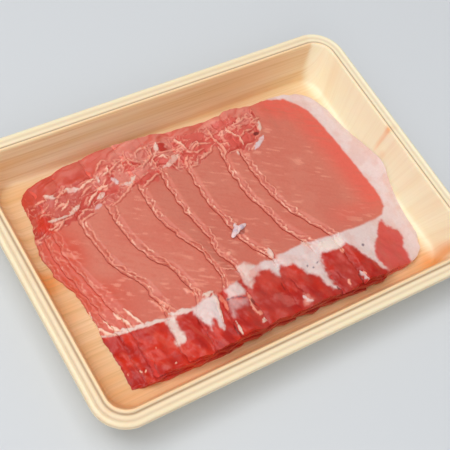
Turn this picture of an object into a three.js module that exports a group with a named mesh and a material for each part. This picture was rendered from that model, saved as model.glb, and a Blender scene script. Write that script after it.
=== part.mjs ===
// A shallow foam tray of sliced pork loin, as it is sold for frying.
// Ten thin slices lie shingled from left to right, each one draped over those before it.
// Millimetres, +Z up, +X along the tray. The origin is the middle of the tray's underside.
import * as THREE from 'three';

// The tray is drawn as rounded rectangles, each a step outwards from the ridge round its opening.
const RIDGE_HALF_LENGTH = 95;
const RIDGE_HALF_WIDTH = 66.5;
const TRAY_HEIGHT = 22.6;
const FLOOR_TOP = 2.6;
const CORNER_STEPS = 6;

// Section through the tray's wall and rim: out is measured outwards from the ridge line,
// z above the underside, and radius is the corner radius of the ring in plan.
const TRAY_INSIDE = [
  { out: -9.0, z: FLOOR_TOP, radius: 9.0 },
  { out: -7.0, z: 3.1, radius: 10.0 },
  { out: -6.0, z: 5.0, radius: 10.5 },
  { out: -0.7, z: 21.8, radius: 9.0 },
];
const TRAY_RIM = [
  { out: -0.1, z: TRAY_HEIGHT, radius: 9.2 },
  { out: 0.6, z: 22.4, radius: 9.8 },
  { out: 1.3, z: 21.3, radius: 10.4 },
  { out: 2.6, z: 21.6, radius: 11.6 },
  { out: 3.9, z: 21.4, radius: 12.8 },
  { out: 5.4, z: 22.2, radius: 14.2 },
  { out: 6.6, z: 21.5, radius: 15.3 },
  { out: 7.0, z: 19.4, radius: 15.7 },
  { out: 5.8, z: 19.2, radius: 14.5 },
  { out: 2.4, z: 19.4, radius: 11.2 },
];
const TRAY_OUTSIDE = [
  { out: -3.8, z: 3.4, radius: 12.0 },
  { out: -5.4, z: 0.6, radius: 11.0 },
  { out: -7.0, z: 0.0, radius: 10.0 },
];

// One slice of loin: its thickness in the middle and what is left of it at its borders.
const SLICE_THICKNESS = 2.1;
const LEFT_EDGE_SHARE = 0.5;
const RIGHT_EDGE_SHARE = 0.6;
const END_SHARE = 0.7;
const GAP = 0.3;
const DRAPE_ROUNDS = 7;

// Each slice's left edge: where it is on its straight far stretch, how far it leans to the right
// by the waist, the jog there, how far its tail end and its far corner have moved over, and how
// far it flares out beside the seam of fat.
const SLICES = [
  { left: -83.4, right: -26, lean: 5.5, jog: 0.5, tail: 6.0, waist: -5, far: 4.0, flare: 0 },
  { left: -79.8, right: -22, lean: 4.0, jog: 1.0, tail: 8.0, waist: -6, far: 2.4, flare: 0 },
  { left: -76.0, right: -15, lean: 4.5, jog: 0.5, tail: 9.0, waist: -8, far: 1.2, flare: 0 },
  { left: -63.0, right: -4, lean: 6.5, jog: 4.5, tail: 10.5, waist: -9, far: 0, flare: 3.0 },
  { left: -49.0, right: 11, lean: 7.0, jog: 5.0, tail: 9.5, waist: -9, far: 0, flare: 5.5 },
  { left: -32.0, right: 27, lean: 8.5, jog: 2.5, tail: 4.5, waist: -10, far: 0, flare: 7.5 },
  { left: -19.0, right: 43, lean: 4.0, jog: -1.5, tail: 4.5, waist: -7, far: 0, flare: 2.5 },
  { left: -6.0, right: 57, lean: 3.5, jog: 1.0, tail: 10.5, waist: -10, far: 0, flare: 3.0 },
  { left: 13.6, right: 76, lean: 5.0, jog: 0.5, tail: 13.5, waist: -9, far: 2.0, flare: 0 },
  { left: 22.8, right: 90, lean: 5.0, jog: 4.0, tail: 17.0, waist: -11, far: 2.0, flare: 0 },
];
const STRAIGHT_UNTIL = 14;
const STRAIGHT_FROM = 26;
const FAR_CORNER_AT = 34;
const JOG_LENGTH = 4;
const SEAM_AT = -30;
const FLARE = { from: -17, until: -35, rise: 10, fall: 5 };
const WIDEST_CELL = 5.0;

// The pile's two long sides, each a line through a few places, and the rounded fat end.
const NEAR_SIDE = [[-84, -50.5], [-76, -54], [-40, -56], [0, -55.5], [50, -56.5], [72, -54], [84, -47]];
const FAR_SIDE = [[-84, 46], [-78, 51], [-60, 54], [-35, 54], [-10, 53], [2, 51], [40, 51],
  [60, 53], [70, 52.5], [76, 51], [80, 47.5], [83.5, 41]];
const FAT_END = [[-54, -12], [-51, -9], [-47, -5.8], [-28, -4.6], [-13, -1.8], [-3, 0], [12, -1.2], [26, -4.4],
  [33, -5.0], [39, -6.2], [45, -9], [50, -12]];
const FAT_END_FROM = 62;
const ROWS = [0, 0.035, 0.09, 0.155, 0.22, 0.28, 0.335, 0.385, 0.43, 0.49, 0.555, 0.62, 0.685, 0.75, 0.81,
  0.87, 0.925, 0.97, 1];

// Low crags on the darker muscles at both ends of a slice.
const CRAG_HEIGHT = 0.35;
const CHAIN_FROM = 28;
const TAIL_UNTIL = -34;

// A loose scrap of fat on the sixth step of the pile.
const SCRAP = { x: -0.1, y: -9.0, length: 11.4, width: 4.8, thickness: 1.0, turn: 0.43, clear: 0.45 };

const foam = new THREE.MeshStandardMaterial({ color: 0xe9d3ab, roughness: 0.6, metalness: 0 });
const meat = new THREE.MeshStandardMaterial({ color: 0xd0705e, roughness: 0.45, metalness: 0 });
const fat = new THREE.MeshStandardMaterial({ color: 0xe8d6cf, roughness: 0.5, metalness: 0 });

// A line through named places, straight between them and level beyond its ends.
function along(places, at) {
  const last = places.length - 1;
  if (at <= places[0][0]) return places[0][1];
  if (at >= places[last][0]) return places[last][1];
  const next = places.findIndex(([place]) => place > at);
  const [from, low] = places[next - 1];
  const [to, high] = places[next];
  return low + (high - low) * (at - from) / (to - from);
}

// Rises from 0 to 1 over the unit stretch, level at both ends.
function smooth(t) {
  const s = Math.min(1, Math.max(0, t));
  return s * s * (3 - 2 * s);
}

// A closed body from rings that all have the same number of corners, shut by a fan at each end.
function ringBody(rings, firstMiddle, lastMiddle) {
  const count = rings[0].length;
  const positions = [firstMiddle, ...rings.flat(), lastMiddle].flatMap((p) => [p.x, p.y, p.z]);
  const at = (ring, corner) => 1 + ring * count + (corner % count);
  const lastIndex = 1 + rings.length * count;
  const index = [];
  for (let corner = 0; corner < count; corner += 1) {
    index.push(0, at(0, corner), at(0, corner + 1));
    for (let ring = 0; ring < rings.length - 1; ring += 1) {
      index.push(at(ring, corner), at(ring + 1, corner), at(ring + 1, corner + 1));
      index.push(at(ring, corner), at(ring + 1, corner + 1), at(ring, corner + 1));
    }
    index.push(at(rings.length - 1, corner), lastIndex, at(rings.length - 1, corner + 1));
  }
  return indexedGeometry(positions, index);
}

function indexedGeometry(positions, index) {
  const geometry = new THREE.BufferGeometry();
  geometry.setAttribute('position', new THREE.Float32BufferAttribute(positions, 3));
  geometry.setIndex(index);
  geometry.computeVertexNormals();
  return geometry;
}

// One ring of the tray: a rounded rectangle that lies out from the ridge line.
function trayRing({ out, z, radius }) {
  const centreX = RIDGE_HALF_LENGTH + out - radius;
  const centreY = RIDGE_HALF_WIDTH + out - radius;
  const quarters = [[1, 1], [-1, 1], [-1, -1], [1, -1]];
  return quarters.flatMap(([signX, signY], quarter) => {
    const steps = Array.from({ length: CORNER_STEPS + 1 }, (unused, step) => step / CORNER_STEPS);
    return steps.map((share) => {
      const angle = (quarter + share) * Math.PI / 2;
      const x = signX * centreX + radius * Math.cos(angle);
      const y = signY * centreY + radius * Math.sin(angle);
      return new THREE.Vector3(x, y, z);
    });
  });
}

function makeTray() {
  const rings = [...TRAY_INSIDE, ...TRAY_RIM, ...TRAY_OUTSIDE].map(trayRing);
  return ringBody(rings, new THREE.Vector3(0, 0, FLOOR_TOP), new THREE.Vector3(0, 0, 0));
}

// Height of the tray's inside: the floor, and the foot of the wall beyond it.
function trayInside(x, y) {
  const out = Math.max(Math.abs(x) - RIDGE_HALF_LENGTH, Math.abs(y) - RIDGE_HALF_WIDTH);
  return along(TRAY_INSIDE.map((place) => [place.out, place.z]), out);
}

// How far a slice's left edge has moved to the right at a place across the tray.
function edgeShift(slice, y) {
  const { lean, jog, tail, waist, far, flare } = slice;
  const leaning = lean * Math.pow(smooth((STRAIGHT_UNTIL - y) / (STRAIGHT_UNTIL - waist) * 0.75) / 0.84375, 1.1);
  const jogged = jog * smooth((waist - y) / JOG_LENGTH);
  const trailing = (tail - lean - jog) * smooth((waist - JOG_LENGTH - y) / (waist - JOG_LENGTH - SEAM_AT));
  const cornered = far * smooth((y - STRAIGHT_FROM) / (FAR_CORNER_AT - STRAIGHT_FROM));
  const flared = flare * smooth((FLARE.from - y) / FLARE.rise) * smooth((y - FLARE.until) / FLARE.fall);
  return Math.min(lean, leaning) + jogged + trailing + cornered + flared;
}

// The columns of the grid that all slices share. Every slice starts and ends on a column.
function makeColumns() {
  const lefts = SLICES.map((slice) => slice.left);
  const marks = [...lefts, SLICES[SLICES.length - 1].right];
  const columns = [];
  for (let k = 0; k < marks.length - 1; k += 1) {
    const cells = Math.ceil((marks[k + 1] - marks[k]) / WIDEST_CELL);
    for (let cell = 0; cell < cells; cell += 1) {
      columns.push({ x: marks[k] + (marks[k + 1] - marks[k]) * cell / cells, slice: k, share: cell / cells });
    }
  }
  columns.push({ x: marks[marks.length - 1], slice: SLICES.length - 1, share: 1 });
  return columns;
}

// Plan position of a grid point: the columns lean as the left edges do, and bend to the fat end.
function gridPoint(column, row) {
  const here = SLICES[column.slice];
  const next = SLICES[Math.min(column.slice + 1, SLICES.length - 1)];
  const across = along(NEAR_SIDE, column.x) * (1 - row) + along(FAR_SIDE, column.x) * row;
  const shift = edgeShift(here, across) * (1 - column.share) + edgeShift(next, across) * column.share;
  const toEnd = smooth((column.x - FAT_END_FROM + 40) / (SLICES[SLICES.length - 1].right - FAT_END_FROM + 40));
  const x = column.x + shift * (1 - toEnd) + along(FAT_END, across) * toEnd;
  const near = along(NEAR_SIDE, x);
  const far = along(FAR_SIDE, x);
  return { x, y: near + (far - near) * row };
}

// Low uneven relief on the dark muscles, none on the smooth eye of the loin.
function crags(x, y) {
  const rough = smooth((y - CHAIN_FROM) / 8) + smooth((TAIL_UNTIL - y) / 8);
  return CRAG_HEIGHT * rough * Math.sin(x * 0.55 + y * 0.35) * Math.cos(y * 0.42 - x * 0.2);
}

// Share of the full thickness that a slice has at a grid point.
function thicknessShare(column, row, first, last) {
  let share = 1;
  if (column === first) share = LEFT_EDGE_SHARE;
  if (column === last) share = RIGHT_EDGE_SHARE;
  if (row === 0 || row === ROWS.length - 1) share = Math.min(share, END_SHARE);
  return share;
}

// Lifts a surface over what lies below it and lets it span the hollows as limp meat does.
function drape(obstacle, first, last) {
  let surface = obstacle.map((column) => [...column]);
  for (let round = 0; round < DRAPE_ROUNDS; round += 1) {
    const before = surface.map((column) => [...column]);
    for (let i = first; i <= last; i += 1) {
      for (let j = 0; j < ROWS.length; j += 1) {
        const left = before[Math.max(first, i - 1)][j];
        const right = before[Math.min(last, i + 1)][j];
        const near = before[i][Math.max(0, j - 1)];
        const far = before[i][Math.min(ROWS.length - 1, j + 1)];
        surface[i][j] = Math.max(obstacle[i][j], (left + right + near + far) / 4);
      }
    }
  }
  return surface;
}

// A closed slab between a lower and an upper surface over some columns of the grid.
function slab(grid, lower, upper, first, last) {
  const rows = ROWS.length;
  const columns = last - first + 1;
  const positions = [];
  for (const surface of [lower, upper]) {
    for (let i = first; i <= last; i += 1) {
      for (let j = 0; j < rows; j += 1) positions.push(grid[i][j].x, grid[i][j].y, surface[i][j]);
    }
  }
  const at = (layer, i, j) => (layer * columns + i) * rows + j;
  const index = [];
  for (let i = 0; i < columns - 1; i += 1) {
    for (let j = 0; j < rows - 1; j += 1) {
      index.push(at(1, i, j), at(1, i + 1, j), at(1, i + 1, j + 1));
      index.push(at(1, i, j), at(1, i + 1, j + 1), at(1, i, j + 1));
      index.push(at(0, i, j), at(0, i + 1, j + 1), at(0, i + 1, j));
      index.push(at(0, i, j), at(0, i, j + 1), at(0, i + 1, j + 1));
    }
  }
  const border = [];
  for (let i = 0; i < columns - 1; i += 1) border.push([i, 0]);
  for (let j = 0; j < rows - 1; j += 1) border.push([columns - 1, j]);
  for (let i = columns - 1; i > 0; i -= 1) border.push([i, rows - 1]);
  for (let j = rows - 1; j > 0; j -= 1) border.push([0, j]);
  border.forEach(([i, j], place) => {
    const [nextI, nextJ] = border[(place + 1) % border.length];
    index.push(at(0, i, j), at(0, nextI, nextJ), at(1, nextI, nextJ));
    index.push(at(0, i, j), at(1, nextI, nextJ), at(1, i, j));
  });
  return indexedGeometry(positions, index);
}

// Lays the slices down one by one and returns their bodies with the finished top of the pile.
function makeSlices() {
  const columns = makeColumns();
  const grid = columns.map((column) => ROWS.map((row) => gridPoint(column, row)));
  const top = grid.map((points) => points.map(({ x, y }) => trayInside(x, y)));
  const columnOf = (x) => columns.reduce((best, column, i) =>
    (Math.abs(column.x - x) < Math.abs(columns[best].x - x) ? i : best), 0);
  const bodies = SLICES.map((slice) => {
    const first = columnOf(slice.left);
    const last = columnOf(slice.right);
    const lower = drape(top.map((heights) => heights.map((height) => height + GAP)), first, last);
    const upper = lower.map((heights) => [...heights]);
    for (let i = first; i <= last; i += 1) {
      for (let j = 0; j < ROWS.length; j += 1) {
        const share = thicknessShare(i, j, first, last);
        upper[i][j] = lower[i][j] + share * SLICE_THICKNESS + crags(grid[i][j].x, grid[i][j].y);
        top[i][j] = upper[i][j];
      }
    }
    return slab(grid, lower, upper, first, last);
  });
  return { bodies, grid, top };
}

// Height of the finished pile at a place, on the flat triangle of the grid that holds it.
function pileTop(pile, x, y) {
  for (let i = 0; i < pile.grid.length - 1; i += 1) {
    for (let j = 0; j < ROWS.length - 1; j += 1) {
      const corners = [[[i, j], [i + 1, j], [i + 1, j + 1]], [[i, j], [i + 1, j + 1], [i, j + 1]]];
      for (const triangle of corners) {
        const [a, b, c] = triangle.map(([column, row]) => pile.grid[column][row]);
        const area = (b.x - a.x) * (c.y - a.y) - (c.x - a.x) * (b.y - a.y);
        const shareB = ((x - a.x) * (c.y - a.y) - (c.x - a.x) * (y - a.y)) / area;
        const shareC = ((b.x - a.x) * (y - a.y) - (x - a.x) * (b.y - a.y)) / area;
        if (shareB >= 0 && shareC >= 0 && shareB + shareC <= 1) {
          const [heightA, heightB, heightC] = triangle.map(([column, row]) => pile.top[column][row]);
          return heightA * (1 - shareB - shareC) + heightB * shareB + heightC * shareC;
        }
      }
    }
  }
  return FLOOR_TOP;
}

// The scrap is a small uneven flake that lies limp over the step between two slices.
function makeScrap(pile) {
  const { x, y, length, width, thickness, turn, clear } = SCRAP;
  const corners = 14;
  const place = (share, angle, lift) => {
    const uneven = 1 + 0.16 * Math.sin(3 * angle + 0.6) + 0.07 * Math.cos(5 * angle);
    const alongIt = share * uneven * Math.cos(angle) * length / 2;
    const acrossIt = share * uneven * Math.sin(angle) * width / 2;
    const placeX = x + alongIt * Math.cos(turn) - acrossIt * Math.sin(turn);
    const placeY = y + alongIt * Math.sin(turn) + acrossIt * Math.cos(turn);
    return new THREE.Vector3(placeX, placeY, pileTop(pile, placeX, placeY) + clear + lift);
  };
  const ring = ([share, lift]) => Array.from({ length: corners }, (unused, corner) =>
    place(share, corner * 2 * Math.PI / corners, lift));
  const rings = [[0.4, thickness], [0.75, thickness * 0.95], [1, thickness * 0.55], [0.92, 0], [0.45, 0]].map(ring);
  return ringBody(rings, place(0, 0, thickness), place(0, 0, 0));
}

function named(name, geometry, material) {
  const mesh = new THREE.Mesh(geometry, material);
  mesh.name = name;
  return mesh;
}

const pack = new THREE.Group();
const pile = makeSlices();
pack.add(named('tray', makeTray(), foam));
pile.bodies.forEach((body, k) => pack.add(named(`slice_${k + 1}`, body, meat)));
pack.add(named('fat_scrap', makeScrap(pile), fat));

export default pack;
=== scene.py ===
"""Looks of a foam tray of shingled raw pork loin slices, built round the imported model.

Lengths are in millimetres until a mesh is made, where they become metres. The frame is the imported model's:
the origin is the middle of the tray's underside, +X runs along the tray and +Z up.
"""

from __future__ import annotations

import logging
import math
from dataclasses import dataclass, field
from enum import Enum

import bpy
import numpy as np
from mathutils import Matrix, Vector

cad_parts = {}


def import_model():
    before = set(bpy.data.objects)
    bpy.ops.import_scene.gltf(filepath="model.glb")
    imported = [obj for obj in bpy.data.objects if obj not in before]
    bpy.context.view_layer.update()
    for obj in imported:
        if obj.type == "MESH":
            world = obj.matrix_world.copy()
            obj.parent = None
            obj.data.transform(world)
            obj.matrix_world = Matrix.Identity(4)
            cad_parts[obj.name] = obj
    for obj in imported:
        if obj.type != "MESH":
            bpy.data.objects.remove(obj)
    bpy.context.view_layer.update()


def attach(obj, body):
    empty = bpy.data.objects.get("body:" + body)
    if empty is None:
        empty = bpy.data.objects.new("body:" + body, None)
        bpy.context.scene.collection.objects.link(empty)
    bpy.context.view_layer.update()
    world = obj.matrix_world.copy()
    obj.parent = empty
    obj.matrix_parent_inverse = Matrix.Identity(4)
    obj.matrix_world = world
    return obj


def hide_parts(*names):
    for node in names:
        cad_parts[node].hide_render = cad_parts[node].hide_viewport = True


LOG = logging.getLogger("meat_tray")
MM = 0.001
Array = np.ndarray
Point = tuple[float, float]
Colour = tuple[int, int, int]
Place = tuple[float, float, float]
Socket = bpy.types.NodeSocket
CAMERA_AT: Place = (-217.63, -189.35, 435.94)


# Numbers and noise


def smooth(t: Array) -> Array:
    """Rises from 0 to 1 over the unit stretch, level at both ends."""
    s = np.clip(t, 0.0, 1.0)
    return s * s * (3.0 - 2.0 * s)


def hump(distance: Array, width: float) -> Array:
    """A soft bump of height 1 at distance 0 that has faded at about twice its width."""
    return np.exp(-((distance / width) ** 2))


def linear(colour: Colour) -> Array:
    """Turns a screen colour of 0 to 255 into linear light."""
    share = np.array(colour, dtype=float) / 255.0
    return np.where(share <= 0.04045, share / 12.92, ((share + 0.055) / 1.055) ** 2.4)


def line_at(places: tuple[Point, ...], at: Array) -> Array:
    """A line through named places, straight between them and level beyond its ends."""
    return np.interp(at, [place for place, _ in places], [value for _, value in places])


class Noise:
    """Smooth seeded noise on the plane, between about -1 and 1."""

    SIZE = 64
    START = (17.3, 5.9)
    WEAKER = 0.5
    FINER = 0.49
    SPREAD = 1.6

    def __init__(self, seed: int, octaves: int = 3) -> None:
        """Draws one table of random values for each octave."""
        self.tables = np.random.default_rng(seed).uniform(-1.0, 1.0, (octaves, self.SIZE, self.SIZE))

    def __call__(self, x: Array, y: Array, cell: float) -> Array:
        """Sums the octaves, each half as strong and about half as wide as the one before.

        Args:
            x, y: places to read.
            cell: width of the widest octave's cells, in the same unit.

        Returns:
            The noise at each place.
        """
        total = np.zeros(np.broadcast(x, y).shape)
        weight, weights = 1.0, 0.0
        for table in self.tables:
            u, v = x / cell + self.START[0], y / cell + self.START[1]
            i, j = np.floor(u).astype(int), np.floor(v).astype(int)
            s, t = smooth(u - i), smooth(v - j)
            i0, j0, i1, j1 = i % self.SIZE, j % self.SIZE, (i + 1) % self.SIZE, (j + 1) % self.SIZE
            near = table[i0, j0] * (1 - s) + table[i1, j0] * s
            far = table[i0, j1] * (1 - s) + table[i1, j1] * s
            total += weight * (near * (1 - t) + far * t)
            weights += weight
            weight *= self.WEAKER
            cell *= self.FINER
        return total * self.SPREAD / weights


def spline_rows(places: Array, count: int) -> Array:
    """Weights of a cubic B-spline's control values at some places.

    A place is a control value's index. Beyond both ends the control values run on in a straight line, so the
    spline starts and ends on the first and last value.

    Args:
        places: where the spline is read.
        count: number of control values.

    Returns:
        One row of weights for each place.
    """
    low = np.clip(np.floor(places).astype(int), 0, count - 2)
    t = places - low
    parts = ((1 - t) ** 3, 3 * t**3 - 6 * t**2 + 4, -3 * t**3 + 3 * t**2 + 3 * t + 1, t**3)
    weights = np.zeros((len(places), count + 2))
    for step, part in enumerate(parts):
        weights[np.arange(len(places)), low + step] += part / 6.0
    inner = weights[:, 1:-1].copy()
    inner[:, 0] += 2 * weights[:, 0]
    inner[:, 1] -= weights[:, 0]
    inner[:, -1] += 2 * weights[:, -1]
    inner[:, -2] -= weights[:, -1]
    return inner


def depth_inside(x: Array, y: Array, outline: tuple[Point, ...]) -> Array:
    """Distance to a closed outline, positive inside it and negative outside.

    The distance is the least one to any side. A place is inside where a level line that runs from it to the
    right crosses the sides an odd number of times.

    Args:
        x, y: places to measure.
        outline: the outline's corners in order.

    Returns:
        The signed distance of each place.
    """
    corners = np.array(outline, dtype=float)
    nearest = np.full(x.shape, np.inf)
    within = np.zeros(x.shape, dtype=bool)
    for start, end in zip(corners, np.roll(corners, -1, axis=0)):
        run = end - start
        share = np.clip(((x - start[0]) * run[0] + (y - start[1]) * run[1]) / (run @ run), 0.0, 1.0)
        nearest = np.minimum(nearest, np.hypot(x - start[0] - share * run[0], y - start[1] - share * run[1]))
        if run[1] != 0.0:
            meets = start[0] + (y - start[1]) * run[0] / run[1]
            within ^= ((start[1] > y) != (end[1] > y)) & (x < meets)
    return np.where(within, nearest, -nearest)


def from_line(x: Array, y: Array, places: tuple[Point, ...]) -> tuple[Array, Array]:
    """Distance to an open line, and where along it the nearest spot lies.

    Args:
        x, y: places to measure.
        places: the line's corners in order.

    Returns:
        The distance of each place, and the share of the line's length at its nearest spot.
    """
    corners = np.array(places, dtype=float)
    lengths = np.hypot(*np.diff(corners, axis=0).T)
    starts = np.concatenate([[0.0], np.cumsum(lengths)])
    nearest, travelled = np.full(x.shape, np.inf), np.zeros(x.shape)
    for start, end, length, begun in zip(corners[:-1], corners[1:], lengths, starts):
        run = (end - start) / length
        share = np.clip((x - start[0]) * run[0] + (y - start[1]) * run[1], 0.0, length)
        distance = np.hypot(x - start[0] - share * run[0], y - start[1] - share * run[1])
        travelled = np.where(distance < nearest, begun + share, travelled)
        nearest = np.minimum(nearest, distance)
    return nearest, travelled / starts[-1]


# Meshes


def new_object(
    name: str, points: Array, faces: tuple[Array, ...], sharp_deg: float = 60.0
) -> bpy.types.Object:
    """Makes a smooth shaded mesh object.

    Args:
        name: the object's name.
        points: one row of x, y and z for each vertex, in millimetres.
        faces: groups of faces with equally many corners, one row of vertex numbers for each face.
        sharp_deg: edges that turn by more than this stay sharp.

    Returns:
        The object, linked to the scene.
    """
    mesh = bpy.data.meshes.new(name)
    corners = np.concatenate([group.ravel() for group in faces])
    sides = np.concatenate([np.full(len(group), group.shape[1]) for group in faces])
    mesh.vertices.add(len(points))
    mesh.vertices.foreach_set("co", (points * MM).astype(np.float32).ravel())
    mesh.loops.add(len(corners))
    mesh.loops.foreach_set("vertex_index", corners.astype(np.int32))
    mesh.polygons.add(len(sides))
    mesh.polygons.foreach_set("loop_start", (np.cumsum(sides) - sides).astype(np.int32))
    mesh.update(calc_edges=True)
    mesh.validate()
    mesh.polygons.foreach_set("use_smooth", np.ones(len(sides), dtype=bool))
    mesh.set_sharp_from_angle(angle=math.radians(sharp_deg))
    piece = bpy.data.objects.new(name, mesh)
    bpy.context.scene.collection.objects.link(piece)
    return piece


def set_colours(piece: bpy.types.Object, name: str, colours: Array) -> None:
    """Stores one linear colour for each vertex.

    Args:
        piece: the object.
        name: the attribute's name.
        colours: one row of red, green and blue for each vertex.
    """
    layer = piece.data.color_attributes.new(name, "FLOAT_COLOR", "POINT")
    full = np.ones((len(colours), 4), dtype=np.float32)
    full[:, :3] = colours
    layer.data.foreach_set("color", full.ravel())


def set_values(piece: bpy.types.Object, name: str, values: Array) -> None:
    """Stores one number for each vertex."""
    layer = piece.data.attributes.new(name, "FLOAT", "POINT")
    layer.data.foreach_set("value", values.astype(np.float32).ravel())


def grid_faces(columns: int, rows: int, first: int = 0, wrap: bool = False) -> Array:
    """Quads over a grid of vertices that are numbered column by column.

    Args:
        columns, rows: size of the grid.
        first: number of the grid's first vertex.
        wrap: whether the last row joins the first.

    Returns:
        One row of four vertex numbers for each quad.
    """
    i, j = np.meshgrid(np.arange(columns - 1), np.arange(rows if wrap else rows - 1), indexing="ij")
    i, j = i.ravel(), j.ravel()
    here, beside, after = i * rows, (i + 1) * rows, (j + 1) % rows
    return first + np.stack([here + j, beside + j, beside + after, here + after], axis=1)


# Materials


class Wiring:
    """Builds one material's nodes."""

    def __init__(self, name: str) -> None:
        """Starts a material with a Principled shader.

        Args:
            name: the material's name.
        """
        self.material = bpy.data.materials.new(name)
        self.material.use_nodes = True
        self.tree = self.material.node_tree
        self.shader = self.tree.nodes["Principled BSDF"]

    def node(self, kind: str, **settings: object) -> bpy.types.Node:
        """Adds a node.

        Args:
            kind: the node's type.
            settings: its named properties.

        Returns:
            The node.
        """
        made = self.tree.nodes.new(kind)
        for name, value in settings.items():
            setattr(made, name, value)
        return made

    def join(self, out: Socket, to: Socket) -> None:
        """Links two sockets."""
        self.tree.links.new(out, to)

    def attribute(self, name: str) -> bpy.types.Node:
        """Reads one of the piece's own attributes."""
        return self.node("ShaderNodeAttribute", attribute_name=name)

    def noise(self, place: Socket, scale: float, detail: float, rough: float) -> Socket:
        """Noise at a place.

        Args:
            place: where it is read, in metres.
            scale: cells for each metre.
            detail: number of finer layers.
            rough: how strong each finer layer is against the one before.

        Returns:
            A number between 0 and 1.
        """
        made = self.node("ShaderNodeTexNoise")
        made.inputs["Scale"].default_value = scale
        made.inputs["Detail"].default_value = detail
        made.inputs["Roughness"].default_value = rough
        self.join(place, made.inputs["Vector"])
        return made.outputs["Fac"]

    def stretch(self, place: Socket, scale: Place) -> Socket:
        """Scales a place along each axis.

        Args:
            place: the place.
            scale: factors for x, y and z.

        Returns:
            The scaled place.
        """
        made = self.node("ShaderNodeMapping")
        made.inputs["Scale"].default_value = scale
        self.join(place, made.inputs["Vector"])
        return made.outputs["Vector"]

    def remap(self, value: Socket, old: Point, new: Point) -> Socket:
        """Carries one range of numbers over to another, held at its ends.

        Args:
            value: the number.
            old: the range it comes from.
            new: the range it is carried to.

        Returns:
            The new number.
        """
        made = self.node("ShaderNodeMapRange")
        for name, number in zip(("From Min", "From Max", "To Min", "To Max"), (*old, *new)):
            made.inputs[name].default_value = number
        self.join(value, made.inputs["Value"])
        return made.outputs["Result"]

    def maths(self, operation: str, first: Socket, second: Socket) -> Socket:
        """Joins two numbers.

        Args:
            operation: name of the operation.
            first: the first number.
            second: the second number.

        Returns:
            The result.
        """
        made = self.node("ShaderNodeMath", operation=operation)
        self.join(first, made.inputs[0])
        self.join(second, made.inputs[1])
        return made.outputs["Value"]

    def blend(
        self, share: Socket | float, first: Socket | Colour, second: Socket | Colour, how: str = "MIX"
    ) -> Socket:
        """Mixes two colours, each a socket or a screen colour.

        Args:
            share: share of the second colour.
            first, second: the colours.
            how: the way in which they mix.

        Returns:
            The mixed colour.
        """
        made = self.node("ShaderNodeMix", data_type="RGBA", blend_type=how)
        if isinstance(share, float):
            made.inputs["Factor"].default_value = share
        else:
            self.join(share, made.inputs["Factor"])
        for name, colour in zip(("A", "B"), (first, second)):
            socket = next(s for s in made.inputs if s.name == name and s.type == "RGBA")
            if isinstance(colour, tuple):
                socket.default_value = (*linear(colour), 1.0)
            else:
                self.join(colour, socket)
        return next(s for s in made.outputs if s.type == "RGBA")

    def bump(self, height: Socket, strength: float, distance_mm: float) -> None:
        """Adds shallow relief that only shades.

        Args:
            height: the relief, between 0 and 1.
            strength: share of it that shows.
            distance_mm: its full height.
        """
        made = self.node("ShaderNodeBump")
        made.inputs["Strength"].default_value = strength
        made.inputs["Distance"].default_value = distance_mm * MM
        self.join(height, made.inputs["Height"])
        self.join(made.outputs["Normal"], self.shader.inputs["Normal"])


@dataclass(frozen=True)
class MeatFinish:
    """Moist raw meat and fat: the colour comes from the piece, the fine grain from noise."""

    wettest: float = 0.16
    dullest: float = 0.6
    specular: float = 0.25
    under_skin_share: float = 0.16
    under_skin_colours: Place = (1.0, 0.3, 0.2)
    under_skin_mm: float = 1.1
    grain_per_m: float = 900.0
    grain_shade: Colour = (249, 246, 245)
    pores_per_m: float = 650.0
    pore_strength: float = 0.35
    pore_mm: float = 0.25

    def make(self) -> bpy.types.Material:
        """Builds the material.

        Fine grain darkens the piece's own colour a little, its own dullness runs the roughness from the
        wettest to the dullest, and pores shade the surface.

        Returns:
            The material.
        """
        w = Wiring("raw_meat")
        place = w.node("ShaderNodeTexCoord").outputs["Object"]
        tint = w.attribute("tint").outputs["Color"]
        grain = w.noise(place, self.grain_per_m, 3.0, 0.6)
        light = w.remap(grain, (0.3, 0.7), (0.0, 1.0))
        darker = w.blend(light, self.grain_shade, (255, 255, 255))
        w.join(w.blend(1.0, tint, darker, "MULTIPLY"), w.shader.inputs["Base Color"])
        dull = w.attribute("dull").outputs["Fac"]
        w.join(w.remap(dull, (0.0, 1.0), (self.wettest, self.dullest)), w.shader.inputs["Roughness"])
        w.shader.inputs["Specular IOR Level"].default_value = self.specular
        w.shader.inputs["Subsurface Weight"].default_value = self.under_skin_share
        w.shader.inputs["Subsurface Radius"].default_value = self.under_skin_colours
        w.shader.inputs["Subsurface Scale"].default_value = self.under_skin_mm * MM
        w.bump(w.noise(place, self.pores_per_m, 4.0, 0.6), self.pore_strength, self.pore_mm)
        return w.material


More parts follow.
